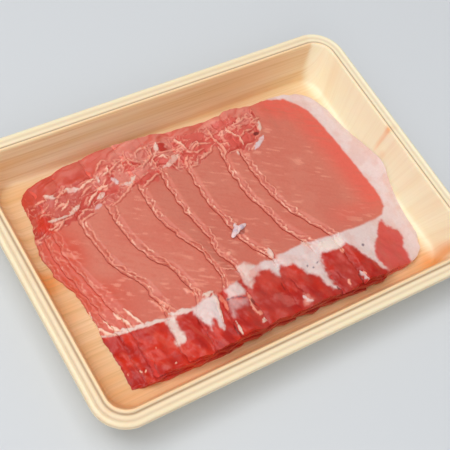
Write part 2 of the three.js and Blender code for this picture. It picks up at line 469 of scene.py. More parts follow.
@dataclass(frozen=True)
class FoamFinish:
    """Foam with a printed wood grain that follows the flat sheet the tray was pressed from."""

    pale: Colour = (255, 243, 214)
    tan: Colour = (230, 208, 160)
    orange: Colour = (242, 158, 86)
    line: Colour = (206, 156, 96)
    # The next two colours are painted light on the rim: shade in its grooves and under it, and the highlight
    # on its ridge
    groove_shade: Colour = (176, 140, 106)
    ridge_highlight: Colour = (255, 206, 160)
    plain: Colour = (242, 228, 196)
    glow_share: float = 0.45
    glow_colours: Place = (1.0, 0.7, 0.45)
    glow_mm: float = 3.0
    roughness: float = 0.42
    specular: float = 0.4
    streaks: Place = (14.0, 900.0, 1.0)
    bands: Place = (7.0, 130.0, 1.0)
    beads_per_m: float = 420.0
    bead_strength: float = 0.1
    bead_mm: float = 0.2

    def make(self) -> bpy.types.Material:
        """Builds the material. Its place is the sheet's own plane, in metres.

        Long bands of noise run from the pale to the tan colour, warm places turn orange, fine streaks and
        year rings darken them, and the rim's painted highlight on its ridge and painted shade in its grooves
        and on the skirt under it lie over all.

        Returns:
            The material.
        """
        w = Wiring("printed_foam")
        sheet = w.node("ShaderNodeUVMap", uv_map="sheet").outputs["UV"]
        warmth = w.attribute("warmth").outputs["Fac"]
        printed = w.attribute("printed").outputs["Fac"]
        ringed = w.attribute("ringed").outputs["Fac"]
        fine = w.noise(w.stretch(sheet, self.streaks), 1.0, 3.0, 0.6)
        broad = w.noise(w.stretch(sheet, self.bands), 1.0, 2.0, 0.5)
        grained = w.attribute("grained").outputs["Fac"]
        tanned = w.maths("MULTIPLY", w.remap(broad, (0.3, 0.7), (0.4, 1.0)), grained)
        cool = w.blend(tanned, self.pale, self.tan)
        streak = w.remap(fine, (0.45, 0.7), (0.0, 0.4))
        edge = w.remap(self.year_rings(w, sheet), (0.65, 1.0), (0.0, 0.4))
        grain = w.maths("ADD", streak, w.maths("MULTIPLY", edge, ringed))
        warm = w.maths("ADD", warmth, w.remap(broad, (0.3, 0.7), (-0.07, 0.07)))
        body = w.blend(w.remap(warm, (0.0, 1.0), (0.0, 1.0)), cool, self.orange)
        lined = w.blend(w.maths("MULTIPLY", grain, grained), body, self.line)
        foam = w.blend(printed, self.plain, lined)
        # Painted highlight on the rim's ridge, then painted shade in its grooves and on the skirt under it
        painted_ridge_highlight = w.blend(w.attribute("painted_ridge_highlight").outputs["Fac"], foam, self.ridge_highlight)
        painted_rim_shade = w.blend(w.attribute("painted_rim_shade").outputs["Fac"], painted_ridge_highlight, self.groove_shade)
        w.join(painted_rim_shade, w.shader.inputs["Base Color"])
        w.shader.inputs["Roughness"].default_value = self.roughness
        w.shader.inputs["Specular IOR Level"].default_value = self.specular
        w.shader.inputs["Subsurface Weight"].default_value = self.glow_share
        w.shader.inputs["Subsurface Radius"].default_value = self.glow_colours
        w.shader.inputs["Subsurface Scale"].default_value = self.glow_mm * MM
        place = w.node("ShaderNodeTexCoord").outputs["Object"]
        w.bump(w.noise(place, self.beads_per_m, 3.0, 0.5), self.bead_strength, self.bead_mm)
        return w.material

    @staticmethod
    def year_rings(w: Wiring, sheet: Socket) -> Socket:
        """Wavy bands like a plank's year rings.

        Args:
            w: the material's nodes.
            sheet: place on the sheet.

        Returns:
            A number that climbs from 0 to 1 over each ring.
        """
        rings = w.node("ShaderNodeTexWave", wave_type="BANDS", bands_direction="Y", wave_profile="SAW")
        sizes = {"Scale": 60.0, "Distortion": 8.0, "Detail": 1.0, "Detail Scale": 0.4}
        for name, size in sizes.items():
            rings.inputs[name].default_value = size
        w.join(w.stretch(sheet, (0.3, 1.0, 1.0)), rings.inputs["Vector"])
        return rings.outputs["Fac"]


# The tray


@dataclass(frozen=True)
class Ring:
    """One step of the tray's section: out from the ridge line, height, and corner radius in plan."""

    out: float
    z: float
    radius: float


@dataclass(frozen=True)
class TrayShape:
    """Named sizes of the tray, the same as the solid's."""

    half_length: float = 95.0
    half_width: float = 66.5
    floor_top: float = 2.6
    inside: tuple[Ring, ...] = (
        Ring(-9.0, 2.6, 9.0),
        Ring(-7.0, 3.1, 10.0),
        Ring(-6.0, 5.0, 10.5),
        Ring(-0.7, 21.8, 9.0),
    )
    rim: tuple[Ring, ...] = (
        Ring(-0.1, 22.6, 9.2),
        Ring(0.6, 22.4, 9.8),
        Ring(1.3, 21.3, 10.4),
        Ring(2.6, 21.6, 11.6),
        Ring(3.9, 21.4, 12.8),
        Ring(5.4, 22.2, 14.2),
        Ring(6.6, 21.5, 15.3),
        Ring(7.0, 19.4, 15.7),
        Ring(5.8, 19.2, 14.5),
        Ring(2.4, 19.4, 11.2),
    )
    outside: tuple[Ring, ...] = (Ring(-3.8, 3.4, 12.0), Ring(-5.4, 0.6, 11.0), Ring(-7.0, 0.0, 10.0))

    def inner_height(self, x: Array, y: Array) -> Array:
        """Height of the tray's inside: the floor, and the foot of the wall beyond it."""
        out = np.maximum(np.abs(x) - self.half_length, np.abs(y) - self.half_width)
        return np.interp(out, [ring.out for ring in self.inside], [ring.z for ring in self.inside])


@dataclass(frozen=True)
class PaintedRimLine:
    """Painted rim line, groove shade and ridge highlight: how far beyond the ridge, its width and strength.
    """

    beyond: float
    width: float
    strength: float


@dataclass(frozen=True)
class WarmSpot:
    """A place that is more orange, with more year rings, on the flat sheet."""

    x: float
    y: float
    length: float
    width: float
    strength: float
    rings: float = 0.0


class Tray:
    """The foam tray: a fine rounded copy of the solid with a printed inside."""

    FILLET = 1.3
    CUT_STEPS = (0.25, 0.5, 0.75, 1.0)
    STEP = 1.4
    CORNER_STEPS = 22
    FLOOR_ROUNDING = 0.15
    FLOOR_RINGS = (-60.0, -50.0, -42.0, -36.0, -31.0, -27.0, -24.0, -21.0, -18.5, -16.0, -14.0, -12.0, -10.5)
    SPOTS = (
        WarmSpot(-91.5, 7.0, 10.0, 5.5, 1.0, 0.5),
        WarmSpot(110.0, 5.4, 5.0, 2.4, 0.9, 0.3),
        WarmSpot(100.5, 5.0, 10.0, 1.0, 0.8),
        WarmSpot(95.5, 0.5, 5.0, 3.5, 0.4),
        WarmSpot(90.0, -58.0, 18.0, 13.0, 0.75, 0.3),
        # More orange along the near wall: painted warm light bounced from the meat
        WarmSpot(0.0, -63.0, 170.0, 11.0, 0.5),
        WarmSpot(-92.0, 0.0, 20.0, 90.0, 0.5, 0.45),
    )
    # Painted shade in the rim's grooves and skirt, and the painted highlight on its ridge
    RIM_SHADE_LINES = (PaintedRimLine(1.7, 0.55, 0.9), PaintedRimLine(4.3, 0.7, 0.28), PaintedRimLine(7.9, 0.6, 0.32))
    RIDGE_HIGHLIGHT = PaintedRimLine(0.1, 0.45, 0.7)
    UNDER_RIM_SHADE = 0.35
    PALE_FROM_X = 80.0
    PLAIN_WARMTH = 0.2
    PLAIN_RINGS = 0.15

    def __init__(self, shape: TrayShape, finish: bpy.types.Material) -> None:
        """Keeps the sizes and the finish."""
        self.shape = shape
        self.finish = finish

    def section(self) -> Array:
        """The section from the floor over the rim to the underside, with its corners rounded.

        Every corner is cut back along both of its sides by the fillet length, or by less where a side is
        short, and a curve of second degree joins the two cuts.

        Returns:
            One row of out, z and radius for each step.
        """
        rings = [*self.shape.inside, *self.shape.rim, *self.shape.outside]
        corners = np.array([[ring.out, ring.z, ring.radius] for ring in rings])
        steps = [corners[0]]
        for before, corner, after in zip(corners[:-2], corners[1:-1], corners[2:]):
            to_before, to_after = before - corner, after - corner
            reaches = [np.hypot(*side[:2]) for side in (to_before, to_after)]
            cut = min(self.FILLET, 0.48 * min(reaches))
            start, end = corner + to_before * cut / reaches[0], corner + to_after * cut / reaches[1]
            gap = np.hypot(*(start - steps[-1])[:2])
            fill = max(1, round(gap / self.STEP))
            steps += [steps[-1] + (start - steps[-1]) * part / fill for part in range(1, fill + 1)]
            for t in self.CUT_STEPS:
                steps.append(start * (1 - t) ** 2 + corner * 2 * t * (1 - t) + end * t**2)
        return np.array([*steps, corners[-1]])

    def plan(self, out: float, radius: float) -> tuple[Array, Array]:
        """One rounded rectangle in plan.

        Args:
            out: how far it lies out from the ridge line.
            radius: its corner radius.

        Returns:
            Its points, and the direction in which each one faces outwards.
        """
        half_x, half_y = self.shape.half_length + out, self.shape.half_width + out
        centre_x, centre_y = half_x - radius, half_y - radius
        along_x = round(2 * self.shape.half_length / self.STEP)
        along_y = round(2 * self.shape.half_width / self.STEP)
        points, facing = [], []
        for quarter, (sign_x, sign_y) in enumerate([(1, 1), (-1, 1), (-1, -1), (1, -1)]):
            angles = (quarter + np.arange(self.CORNER_STEPS + 1) / self.CORNER_STEPS) * math.pi / 2
            turn = np.stack([np.cos(angles), np.sin(angles)], axis=1)
            arc = np.array([sign_x * centre_x, sign_y * centre_y]) + radius * turn
            side = along_x if quarter % 2 == 0 else along_y
            next_signs = [(-1, 1), (-1, -1), (1, -1), (1, 1)][quarter]
            end = np.array([next_signs[0] * centre_x, next_signs[1] * centre_y]) + radius * turn[-1]
            shares = np.arange(1, side)[:, None] / side
            points += [arc, arc[-1] * (1 - shares) + end * shares]
            facing += [turn, np.repeat(turn[-1:], side - 1, axis=0)]
        return np.concatenate(points), np.concatenate(facing)

    def build(self) -> bpy.types.Object:
        """Makes the tray's mesh with its sheet coordinates and print strengths.

        Each step of the section is a rounded rectangle in plan, and quads join each one to the next. On the
        floor the sheet's coordinates are the plan itself. Beyond it each vertex lies straight out from the
        floor's border, as far as the section has travelled.

        Returns:
            The tray.
        """
        floor_top, inner = self.shape.floor_top, self.shape.inside[0]
        floor = []
        for out in self.FLOOR_RINGS:
            radius = max(1.0, inner.radius + (out - inner.out) * self.FLOOR_ROUNDING)
            floor.append(np.array([out, floor_top, radius]))
        steps = np.array([*floor, *self.section()])
        travelled = np.concatenate([[0.0], np.cumsum(np.hypot(*np.diff(steps[:, :2], axis=0).T))])
        start = len(floor)
        base, facing = self.plan(steps[start][0], steps[start][2])
        rings, sheets = [], []
        for step, way in zip(steps, travelled - travelled[start]):
            ring, _ = self.plan(step[0], step[2])
            rings.append(np.column_stack([ring, np.full(len(ring), step[1])]))
            sheets.append(base + facing * way if way > 0 else ring)
        count = len(rings[0])
        points = np.concatenate([*rings, [[0.0, 0.0, floor_top], [0.0, 0.0, 0.0]]])
        faces = grid_faces(len(rings), count, wrap=True)[:, ::-1]
        piece = new_object("foam_tray", points, (faces, self.fans(len(rings), count)), 80.0)
        sheet = np.concatenate([*sheets, [[0.0, 0.0], [0.0, 0.0]]])
        beyond = travelled - travelled[np.argmax(steps[:, 1])]
        self.store(piece, sheet, np.append(np.repeat(beyond, count), [-60.0, 60.0]))
        piece.data.materials.append(self.finish)
        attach(piece, "root")
        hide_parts("tray")
        return piece

    @staticmethod
    def fans(rings: int, count: int) -> Array:
        """Triangles that close the floor's middle and the underside.

        Args:
            rings: number of steps of the section.
            count: number of vertices in each step.

        Returns:
            One row of three vertex numbers for each triangle.
        """
        corner = np.arange(count)
        after = (corner + 1) % count
        middle = np.full(count, rings * count)
        last = (rings - 1) * count
        floor = np.stack([corner, after, middle], axis=1)
        under = np.stack([last + after, last + corner, middle + 1], axis=1)
        return np.concatenate([floor, under])

    def store(self, piece: bpy.types.Object, sheet: Array, beyond: Array) -> None:
        """Stores the sheet's coordinates as a UV map, the print, and the rim's painted shade and highlight.

        Args:
            piece: the tray.
            sheet: place of each vertex on the flat sheet.
            beyond: how far each vertex lies beyond the rim's ridge, along the section.
        """
        mesh = piece.data
        corners = np.zeros(len(mesh.loops), dtype=np.int32)
        mesh.loops.foreach_get("vertex_index", corners)
        layer = mesh.uv_layers.new(name="sheet")
        layer.data.foreach_set("uv", (sheet[corners] * MM).astype(np.float32).ravel())
        patchy = Noise(41, 2)(sheet[:, 0] * 0.35, sheet[:, 1], 16.0)
        warmth = self.PLAIN_WARMTH + 0.07 * patchy
        ringed = np.full(len(sheet), self.PLAIN_RINGS)
        right = smooth((sheet[:, 0] - self.PALE_FROM_X) / 8.0)
        warmth -= 0.4 * right
        for spot in self.SPOTS:
            reach = np.hypot((sheet[:, 0] - spot.x) / spot.length, (sheet[:, 1] - spot.y) / spot.width)
            warmth += spot.strength * hump(reach, 0.8)
            ringed += spot.rings * hump(reach, 1.0)
        printed = 1.0 - 0.7 * smooth((beyond + 0.4) / 1.0) - 0.3 * smooth((beyond - 7.5) / 2.0)
        # Painted shade in the rim's grooves and along its outer edge
        painted_rim_shade = sum(one.strength * hump(beyond - one.beyond, one.width) for one in self.RIM_SHADE_LINES)
        set_values(piece, "printed", printed)
        set_values(piece, "grained", printed * (1.0 - 0.75 * right))
        set_values(piece, "ringed", np.clip(ringed, 0.0, 1.0))
        set_values(piece, "warmth", np.clip(warmth, 0.0, 1.0))
        # Painted highlight on the rim's ridge
        set_values(piece, "painted_ridge_highlight", self.RIDGE_HIGHLIGHT.strength * hump(beyond - self.RIDGE_HIGHLIGHT.beyond, self.RIDGE_HIGHLIGHT.width))
        # Painted shade on the outer skirt under the rim
        shaded = smooth((beyond - 8.5) / 1.5) * (1.0 - smooth((beyond - 12.0) / 3.0))
        set_values(piece, "painted_rim_shade", painted_rim_shade + self.UNDER_RIM_SHADE * shaded)


# The pile of slices


@dataclass(frozen=True)
class Slice:
    """One slice's left edge and reach, as in the solid: see edge_shift for what the sizes do."""

    left: float
    right: float
    lean: float
    jog: float
    tail: float
    waist: float
    far: float
    flare: float


@dataclass(frozen=True)
class PileShape:
    """Named sizes of the pile, the same as the solids'."""

    thickness: float = 2.1
    left_share: float = 0.5
    right_share: float = 0.6
    end_share: float = 0.7
    gap: float = 0.3
    drape_rounds: int = 7
    slices: tuple[Slice, ...] = (
        Slice(-83.4, -26.0, 5.5, 0.5, 6.0, -5.0, 4.0, 0.0),
        Slice(-79.8, -22.0, 4.0, 1.0, 8.0, -6.0, 2.4, 0.0),
        Slice(-76.0, -15.0, 4.5, 0.5, 9.0, -8.0, 1.2, 0.0),
        Slice(-63.0, -4.0, 6.5, 4.5, 10.5, -9.0, 0.0, 3.0),
        Slice(-49.0, 11.0, 7.0, 5.0, 9.5, -9.0, 0.0, 5.5),
        Slice(-32.0, 27.0, 8.5, 2.5, 4.5, -10.0, 0.0, 7.5),
        Slice(-19.0, 43.0, 4.0, -1.5, 4.5, -7.0, 0.0, 2.5),
        Slice(-6.0, 57.0, 3.5, 1.0, 10.5, -10.0, 0.0, 3.0),
        Slice(13.6, 76.0, 5.0, 0.5, 13.5, -9.0, 2.0, 0.0),
        Slice(22.8, 90.0, 5.0, 4.0, 17.0, -11.0, 2.0, 0.0),
    )
    straight_until: float = 14.0
    straight_from: float = 26.0
    far_corner_at: float = 34.0
    jog_length: float = 4.0
    seam_at: float = -30.0
    flare_from: float = -17.0
    flare_rise: float = 10.0
    flare_until: float = -35.0
    flare_fall: float = 5.0
    widest_cell: float = 5.0
    near_side: tuple[Point, ...] = (
        (-84, -50.5), (-76, -54), (-40, -56), (0, -55.5), (50, -56.5), (72, -54), (84, -47),
    )
    far_side: tuple[Point, ...] = (
        (-84, 46), (-78, 51), (-60, 54), (-35, 54), (-10, 53), (2, 51), (40, 51), (60, 53), (70, 52.5),
        (76, 51), (80, 47.5), (83.5, 41),
    )
    fat_end: tuple[Point, ...] = (
        (-54, -12), (-51, -9), (-47, -5.8), (-28, -4.6), (-13, -1.8), (-3, 0), (12, -1.2), (26, -4.4),
        (33, -5), (39, -6.2), (45, -9), (50, -12),
    )
    bends_from: float = 22.0
    rows: tuple[float, ...] = (
        0, 0.035, 0.09, 0.155, 0.22, 0.28, 0.335, 0.385, 0.43, 0.49, 0.555, 0.62, 0.685, 0.75, 0.81, 0.87,
        0.925, 0.97, 1,
    )
    crag_height: float = 0.35
    chain_from: float = 28.0
    tail_until: float = -34.0

    def edge_shift(self, piece: Slice, y: Array) -> Array:
        """How far a slice's left edge has moved to the right at a place across the tray.

        From its straight far stretch the edge leans over until the waist, jogs there, trails off to the tail
        end, flares out beside the seam of fat, and has moved over at its far corner.

        Args:
            piece: the slice.
            y: places across the tray.

        Returns:
            The shift at each place.
        """
        turn = smooth((self.straight_until - y) / (self.straight_until - piece.waist) * 0.75) / 0.84375
        leaning = np.minimum(piece.lean, piece.lean * turn**1.1)
        jogged = piece.jog * smooth((piece.waist - y) / self.jog_length)
        after = piece.waist - self.jog_length
        trailing = (piece.tail - piece.lean - piece.jog) * smooth((after - y) / (after - self.seam_at))
        cornered = piece.far * smooth((y - self.straight_from) / (self.far_corner_at - self.straight_from))
        flaring = smooth((self.flare_from - y) / self.flare_rise)
        flared = piece.flare * flaring * smooth((y - self.flare_until) / self.flare_fall)
        return leaning + jogged + trailing + cornered + flared

    def crags(self, x: Array, y: Array) -> Array:
        """Low uneven relief on the dark muscles, none on the smooth eye of the loin."""
        rough = smooth((y - self.chain_from) / 8.0) + smooth((self.tail_until - y) / 8.0)
        return self.crag_height * rough * np.sin(x * 0.55 + y * 0.35) * np.cos(y * 0.42 - x * 0.2)


class Pile:
    """The coarse grid that all slices share, with the lower surface of each slice on it."""

    def __init__(self, shape: PileShape, tray: TrayShape) -> None:
        """Lays the slices down one by one over the tray.

        Args:
            shape: the pile's sizes.
            tray: the tray's sizes.
        """
        self.shape = shape
        self.column_x, self.column_slice, self.column_share = self.columns()
        self.grid_x, self.grid_y = self.grid()
        top = tray.inner_height(self.grid_x, self.grid_y)
        self.spans: list[tuple[int, int]] = []
        self.lowers: list[Array] = []
        for piece in shape.slices:
            first = int(np.argmin(np.abs(self.column_x - piece.left)))
            last = int(np.argmin(np.abs(self.column_x - piece.right)))
            lower = self.drape(top[first : last + 1] + shape.gap)
            crags = shape.crags(self.grid_x[first : last + 1], self.grid_y[first : last + 1])
            top[first : last + 1] = lower + self.coarse_share(last - first + 1) * shape.thickness + crags
            self.spans.append((first, last))
            self.lowers.append(lower)

    def columns(self) -> tuple[Array, Array, Array]:
        """Where the grid's columns stand: every slice starts and ends near one.

        Returns:
            Each column's place, its slice's number, and its share of the way to the next slice's left edge.
        """
        marks = [piece.left for piece in self.shape.slices] + [self.shape.slices[-1].right]
        places, owners, shares = [], [], []
        for k, (start, end) in enumerate(zip(marks[:-1], marks[1:])):
            cells = math.ceil((end - start) / self.shape.widest_cell)
            places += [start + (end - start) * cell / cells for cell in range(cells)]
            owners += [k] * cells
            shares += [cell / cells for cell in range(cells)]
        last = len(self.shape.slices) - 1
        return np.array([*places, marks[-1]]), np.array([*owners, last]), np.array([*shares, 1.0])

    def grid(self) -> tuple[Array, Array]:
        """Plan position of the grid: the columns lean as the left edges do, and bend to the fat end.

        Returns:
            The x and the y of each place of the grid.
        """
        shape = self.shape
        rows = np.array(shape.rows)
        end = shape.slices[-1].right
        xs, ys = [], []
        for x, k, share in zip(self.column_x, self.column_slice, self.column_share):
            here, after = shape.slices[k], shape.slices[min(k + 1, len(shape.slices) - 1)]
            across = line_at(shape.near_side, x) * (1 - rows) + line_at(shape.far_side, x) * rows
            shift = shape.edge_shift(here, across) * (1 - share) + shape.edge_shift(after, across) * share
            to_end = float(smooth(np.array((x - shape.bends_from) / (end - shape.bends_from))))
            place = x + shift * (1 - to_end) + line_at(shape.fat_end, across) * to_end
            near, far = line_at(shape.near_side, place), line_at(shape.far_side, place)
            xs.append(place)
            ys.append(near + (far - near) * rows)
        return np.array(xs), np.array(ys)

    def drape(self, obstacle: Array) -> Array:
        """Lifts a surface over what lies below it and lets it span the hollows as limp meat does.

        Args:
            obstacle: height of what lies below, at each place of the grid.

        Returns:
            Height of the surface at the same places.
        """
        surface = obstacle.copy()
        for _ in range(self.shape.drape_rounds):
            wide = np.pad(surface, 1, mode="edge")
            around = (wide[:-2, 1:-1] + wide[2:, 1:-1] + wide[1:-1, :-2] + wide[1:-1, 2:]) / 4.0
            surface = np.maximum(obstacle, around)
        return surface

    def coarse_share(self, count: int) -> Array:
        """Share of the full thickness that a slice has at its grid points.

        Args:
            count: number of the grid's columns that the slice has.

        Returns:
            The share at each grid point.
        """
        share = np.ones((count, len(self.shape.rows)))
        share[0] = self.shape.left_share
        share[-1] = self.shape.right_share
        share[:, [0, -1]] = np.minimum(share[:, [0, -1]], self.shape.end_share)
        return share


# What the meat looks like from place to place


@dataclass(frozen=True)
class Sight:
    """Where the photo was taken from, and the level plane on which places were read from it."""

    eye: Place = CAMERA_AT
    plane: float = 10.6

    def reading(self, points: Array) -> tuple[Array, Array]:
        """Where each point was read on the level plane.

        A point above or below the plane lies aside on it, by the slant of the line of sight.

        Args:
            points: one row of x, y and z for each point.

        Returns:
            The x and the y of each point on the plane.
        """
        x, y, z = points.T
        step = (z - self.plane) / (self.eye[2] - z)
        return x + (x - self.eye[0]) * step, y + (y - self.eye[1]) * step


class Tone(Enum):
    """Screen colours of the meat under plain light.

    A few stand in for light and shade: a painted highlight, a painted contact shadow, and a deep red that
    also serves as painted shade.
    """

    EYE = (212, 124, 104)
    EYE_DEEP = (208, 110, 92)
    LEFT_RED = (212, 86, 66)
    RIM_RED = (226, 100, 84)
    STRIP = (220, 106, 88)
    STRIP_RIGHT = (218, 130, 114)
    CHAIN_PINK = (222, 134, 118)
    CHAIN_RED = (214, 92, 80)
    BURR = (242, 166, 142)
    PAINTED_HIGHLIGHT = (252, 200, 174)
    DEEP_RED_AND_PAINTED_SHADE = (184, 62, 50)
    BURR_VALLEY = (206, 108, 88)
    PAINTED_CONTACT_SHADOW = (160, 66, 50)
    CREAM = (234, 204, 186)
    CURL = (250, 208, 186)
    LAVENDER = (224, 206, 208)
    CAP = (228, 205, 200)
    SEAM = (231, 211, 200)
    TAIL = (186, 38, 26)
    TAIL_BRIGHT = (214, 52, 28)
    TAIL_DARK = (152, 24, 20)
    TAIL_DULL = (188, 82, 70)
    TAIL_PINK = (216, 92, 84)
    HAZE = (226, 128, 116)
    FAT_SHADE = (224, 184, 174)
    SALMON = (240, 136, 110)
    DARK = (110, 26, 24)
    BLUISH = (112, 92, 104)


FIBRES = Noise(23, 2)
HALO_STRENGTH = 0.12
HALO_BELOW_Y = -33.0


@dataclass(frozen=True)
class Spot:
    """An oval mark: its middle, length, width, turn from +X, tone, lift in millimetres and strength."""

    x: float
    y: float
    length: float
    width: float
    turn_deg: float
    tone: Tone
    lift: float = 0.0
    strength: float = 0.9

    def cover(self, x: Array, y: Array, wobble: Array) -> Array:
        """Share of the mark at each place, with a border that wobbles.

        Args:
            x, y: the places.
            wobble: noise at each place, which moves the border.

        Returns:
            The share at each place.
        """
        c, s = math.cos(math.radians(self.turn_deg)), math.sin(math.radians(self.turn_deg))
        u, v = (x - self.x) * c + (y - self.y) * s, (y - self.y) * c - (x - self.x) * s
        fibre = FIBRES(u * 0.5, v, 1.3)
        reach = np.hypot(u / (self.length / 2), v / (self.width / 2)) + 0.6 * wobble + 0.5 * fibre
        return self.strength * smooth((1.25 - reach) / 0.55)


@dataclass(frozen=True)
class Stroke:
    """A mark along a line, which narrows towards its ends."""

    places: tuple[Point, ...]
    width: float
    tone: Tone
    lift: float = 0.0
    strength: float = 0.9

    def cover(self, x: Array, y: Array, wobble: Array) -> Array:
        """Share of the mark at each place.

        Args:
            x, y: the places.
            wobble: noise at each place, which moves the border.

        Returns:
            The share at each place.
        """
        cover = np.zeros(len(x))
        xs, ys = np.array(self.places).T
        near = (x > xs.min() - 4) & (x < xs.max() + 4) & (y > ys.min() - 4) & (y < ys.max() + 4)
        x, y, wobble = x[near], y[near], wobble[near]
        bend = FIBRES(x, y, 1.6)
        distance, share = from_line(x + 0.35 * bend, y + 0.35 * FIBRES(x + 9.0, y, 1.6), self.places)
        taper = 0.3 + 0.7 * smooth(np.minimum(share, 1 - share) / 0.25)
        edge = self.width / 2 * taper * (1 + 0.35 * wobble + 0.25 * bend)
        cover[near] = self.strength * smooth((edge + 0.2 - distance) / 0.4)
        return cover


@dataclass(frozen=True)
class Area:
    """A mark with its own outline. Its softness is how wide its border fades."""

    outline: tuple[Point, ...]
    tone: Tone
    lift: float = 0.0
    strength: float = 1.0
    softness: float = 1.9

    def cover(self, x: Array, y: Array, wobble: Array) -> Array:
        """Share of the mark at each place, with a border that wobbles.

        Args:
            x, y: the places.
            wobble: noise at each place, which moves the border.

        Returns:
            The share at each place.
        """
        ragged = 0.7 * wobble + 0.3 * FIBRES(x, y, 1.3)
        return self.strength * smooth((depth_inside(x, y, self.outline) + ragged) / self.softness + 0.5)

    def halo(self, x: Array, y: Array, wobble: Array) -> Array:
        """Share of the pinkish haze round the mark where it lies on the tail.

        Args:
            x, y: the places.
            wobble: noise at each place, which moves the border.

        Returns:
            The share at each place.
        """
        near = smooth((depth_inside(x, y, self.outline) + 0.8 * wobble) / 4.5 + 0.75)
        return HALO_STRENGTH * self.strength * near * smooth((HALO_BELOW_Y - y) / 3.0)


# Strokes with at least this lift get a painted shadow line below them
RAISED = 0.45
# Marks of these tones count as fat, and all others cover it
FAT_TONES = (Tone.CAP, Tone.SEAM, Tone.CREAM, Tone.LAVENDER)
# Borders between the muscles and the fat: x and y on the reading plane
CHAIN_LOW = (
    (-84, 22), (-78, 24), (-72, 27), (-60, 25.5), (-50, 31), (-45, 27), (-36, 31), (-30, 33.5), (-26, 31),
    (-15, 36), (-9, 33.5), (-3, 31), (5, 32), (15, 38), (20, 31), (28, 28), (33, 29), (40, 35), (43, 44),
    (46, 60), (95, 70),
)
STRIP_LOW = (
    (-84, 40), (-70, 43), (-60, 45), (-45, 45.5), (-30, 49), (-15, 51), (0, 49.5), (20, 48.5), (40, 49),
)
SEAM_LINE = (
    (-84, -26), (-78, -29.2), (-71, -30.4), (-64, -31), (-56, -32.6), (-50, -33), (-44, -32.8), (-38, -34),
    (-30, -33), (-24, -31.5), (-17, -31), (-10, -30), (0, -28.5), (8, -29), (14, -30.5), (27, -31),
    (32, -32), (44, -33), (56, -34), (95, -34),
)
EYE_END = (
    (-95, -27), (-95, 70), (45, 70), (47, 53), (54, 51.2), (62, 48.5), (67, 43.5), (70.5, 37), (71.5, 31),
    (72.6, 22), (73.6, 12), (74.2, 3), (75, -6), (75.4, -14), (75.2, -20), (73.8, -25.3), (70.5, -28.6),
    (64, -29.6), (54, -29), (45, -28.6), (36, -27.4), (26, -26.5), (12, -26.5),
)
FLECK = (
    (12.1, -48), (13.3, -49.1), (13.6, -51.2), (14.3, -52.6), (12, -53.7), (9, -54), (8.8, -52.2),
    (10.4, -50.2),
)
# Marks on the slices, laid in the order of each list: x and y on the reading plane
WHITE_AREAS = (
    Area(
        (
            (-52.3, -33.5), (-47.7, -32.6), (-46.5, -33.6), (-47.9, -38.2), (-47.7, -44.4), (-49.3, -46.4),
            (-53.1, -45.1), (-51.6, -40.3), (-51.5, -36.5),
        ),
        Tone.SEAM, 0.15,
    ),
    Area(
        (
            (-38.3, -33.2), (-33.4, -32.1), (-30.1, -31.6), (-25.4, -30.9), (-25.2, -32.7), (-26.9, -37.8),
            (-28.5, -43.3), (-30.7, -48), (-31.4, -46), (-31.1, -42.6), (-32.2, -41.6), (-35.6, -46.2),
            (-35.7, -43.9), (-36.5, -40.9), (-37.7, -37.2), (-38.8, -35.4),
        ),
        Tone.CAP, 0.1,
    ),
    Area(
        ((-20.3, -31.9), (-17.1, -30.1), (-13.7, -30.6), (-12.5, -33.9), (-13.1, -37.4), (-20.3, -35.5)),
        Tone.CAP, 0.25,
    ),
    Area(
        (
            (-21.3, -35.8), (-13.2, -39.3), (-14.2, -42), (-17.5, -41), (-21.7, -41.5), (-23.2, -44.8),
            (-22.8, -39.5),
        ),
        Tone.CAP, 0.1, 0.42, 2.8,
    ),
    Area(
        (
            (-9.2, -23.2), (-5.1, -23.6), (-1.8, -27), (-2.3, -31.3), (-4.8, -31.8), (-8.9, -36),
            (-10.1, -31.7), (-9, -28.2), (-10.8, -25.8),
        ),
        Tone.SEAM, 0.3, 0.85, 2.4,
    ),
    Area(
        (
            (-3.9, -26.9), (0.7, -26.5), (4, -26.3), (6.5, -27.7), (9.3, -29.3), (9.3, -31), (6.3, -36.5),
            (5, -33.5), (3.7, -31.2), (0.6, -30.1), (-2.9, -29.4),
        ),
        Tone.CAP, 0.15,
    ),
    Area(
        (
            (6, -28), (12.3, -27.9), (19.5, -27.4), (26.9, -27.6), (31.2, -29.3), (29.4, -33.7),
            (27.7, -38.8), (27.4, -42.6), (27.1, -46.5), (27.8, -53), (25.5, -52.2), (23.9, -47.8),
            (23.4, -43.6), (21.5, -41.3), (18.8, -40.4), (18.9, -37.6), (15.2, -33.6), (12, -32.8),
        ),
        Tone.CAP, 0.1,
    ),
    Area(
        (
            (29.7, -28.6), (37.3, -28.6), (44.2, -30.2), (43.6, -34.1), (40.7, -35.3), (35.4, -34.1),
            (31.7, -33),
        ),
        Tone.SEAM, 0.3,
    ),
    Area(FLECK, Tone.CHAIN_PINK, 0.3, 0.9, 1.6),
)
RED_AREAS = (
    Area(
        (
            (31.5, -33.5), (36, -34.6), (41, -35.8), (44.5, -34.5), (47, -37.5), (49.5, -44), (52, -50),
            (55.5, -56), (52, -62), (28, -62), (27.6, -44), (29, -36),
        ),
        Tone.TAIL, 0.0,
    ),
    Area(
        (
            (66.2, -30.6), (68.2, -31), (68.4, -34), (70.5, -36.5), (72.8, -39), (72.6, -44), (70, -47.5),
            (69.4, -53), (66, -62), (57, -62), (55, -54), (54, -49), (55, -44), (58.8, -39.5), (62.5, -36),
        ),
        Tone.TAIL_PINK, 0.0,
    ),
)
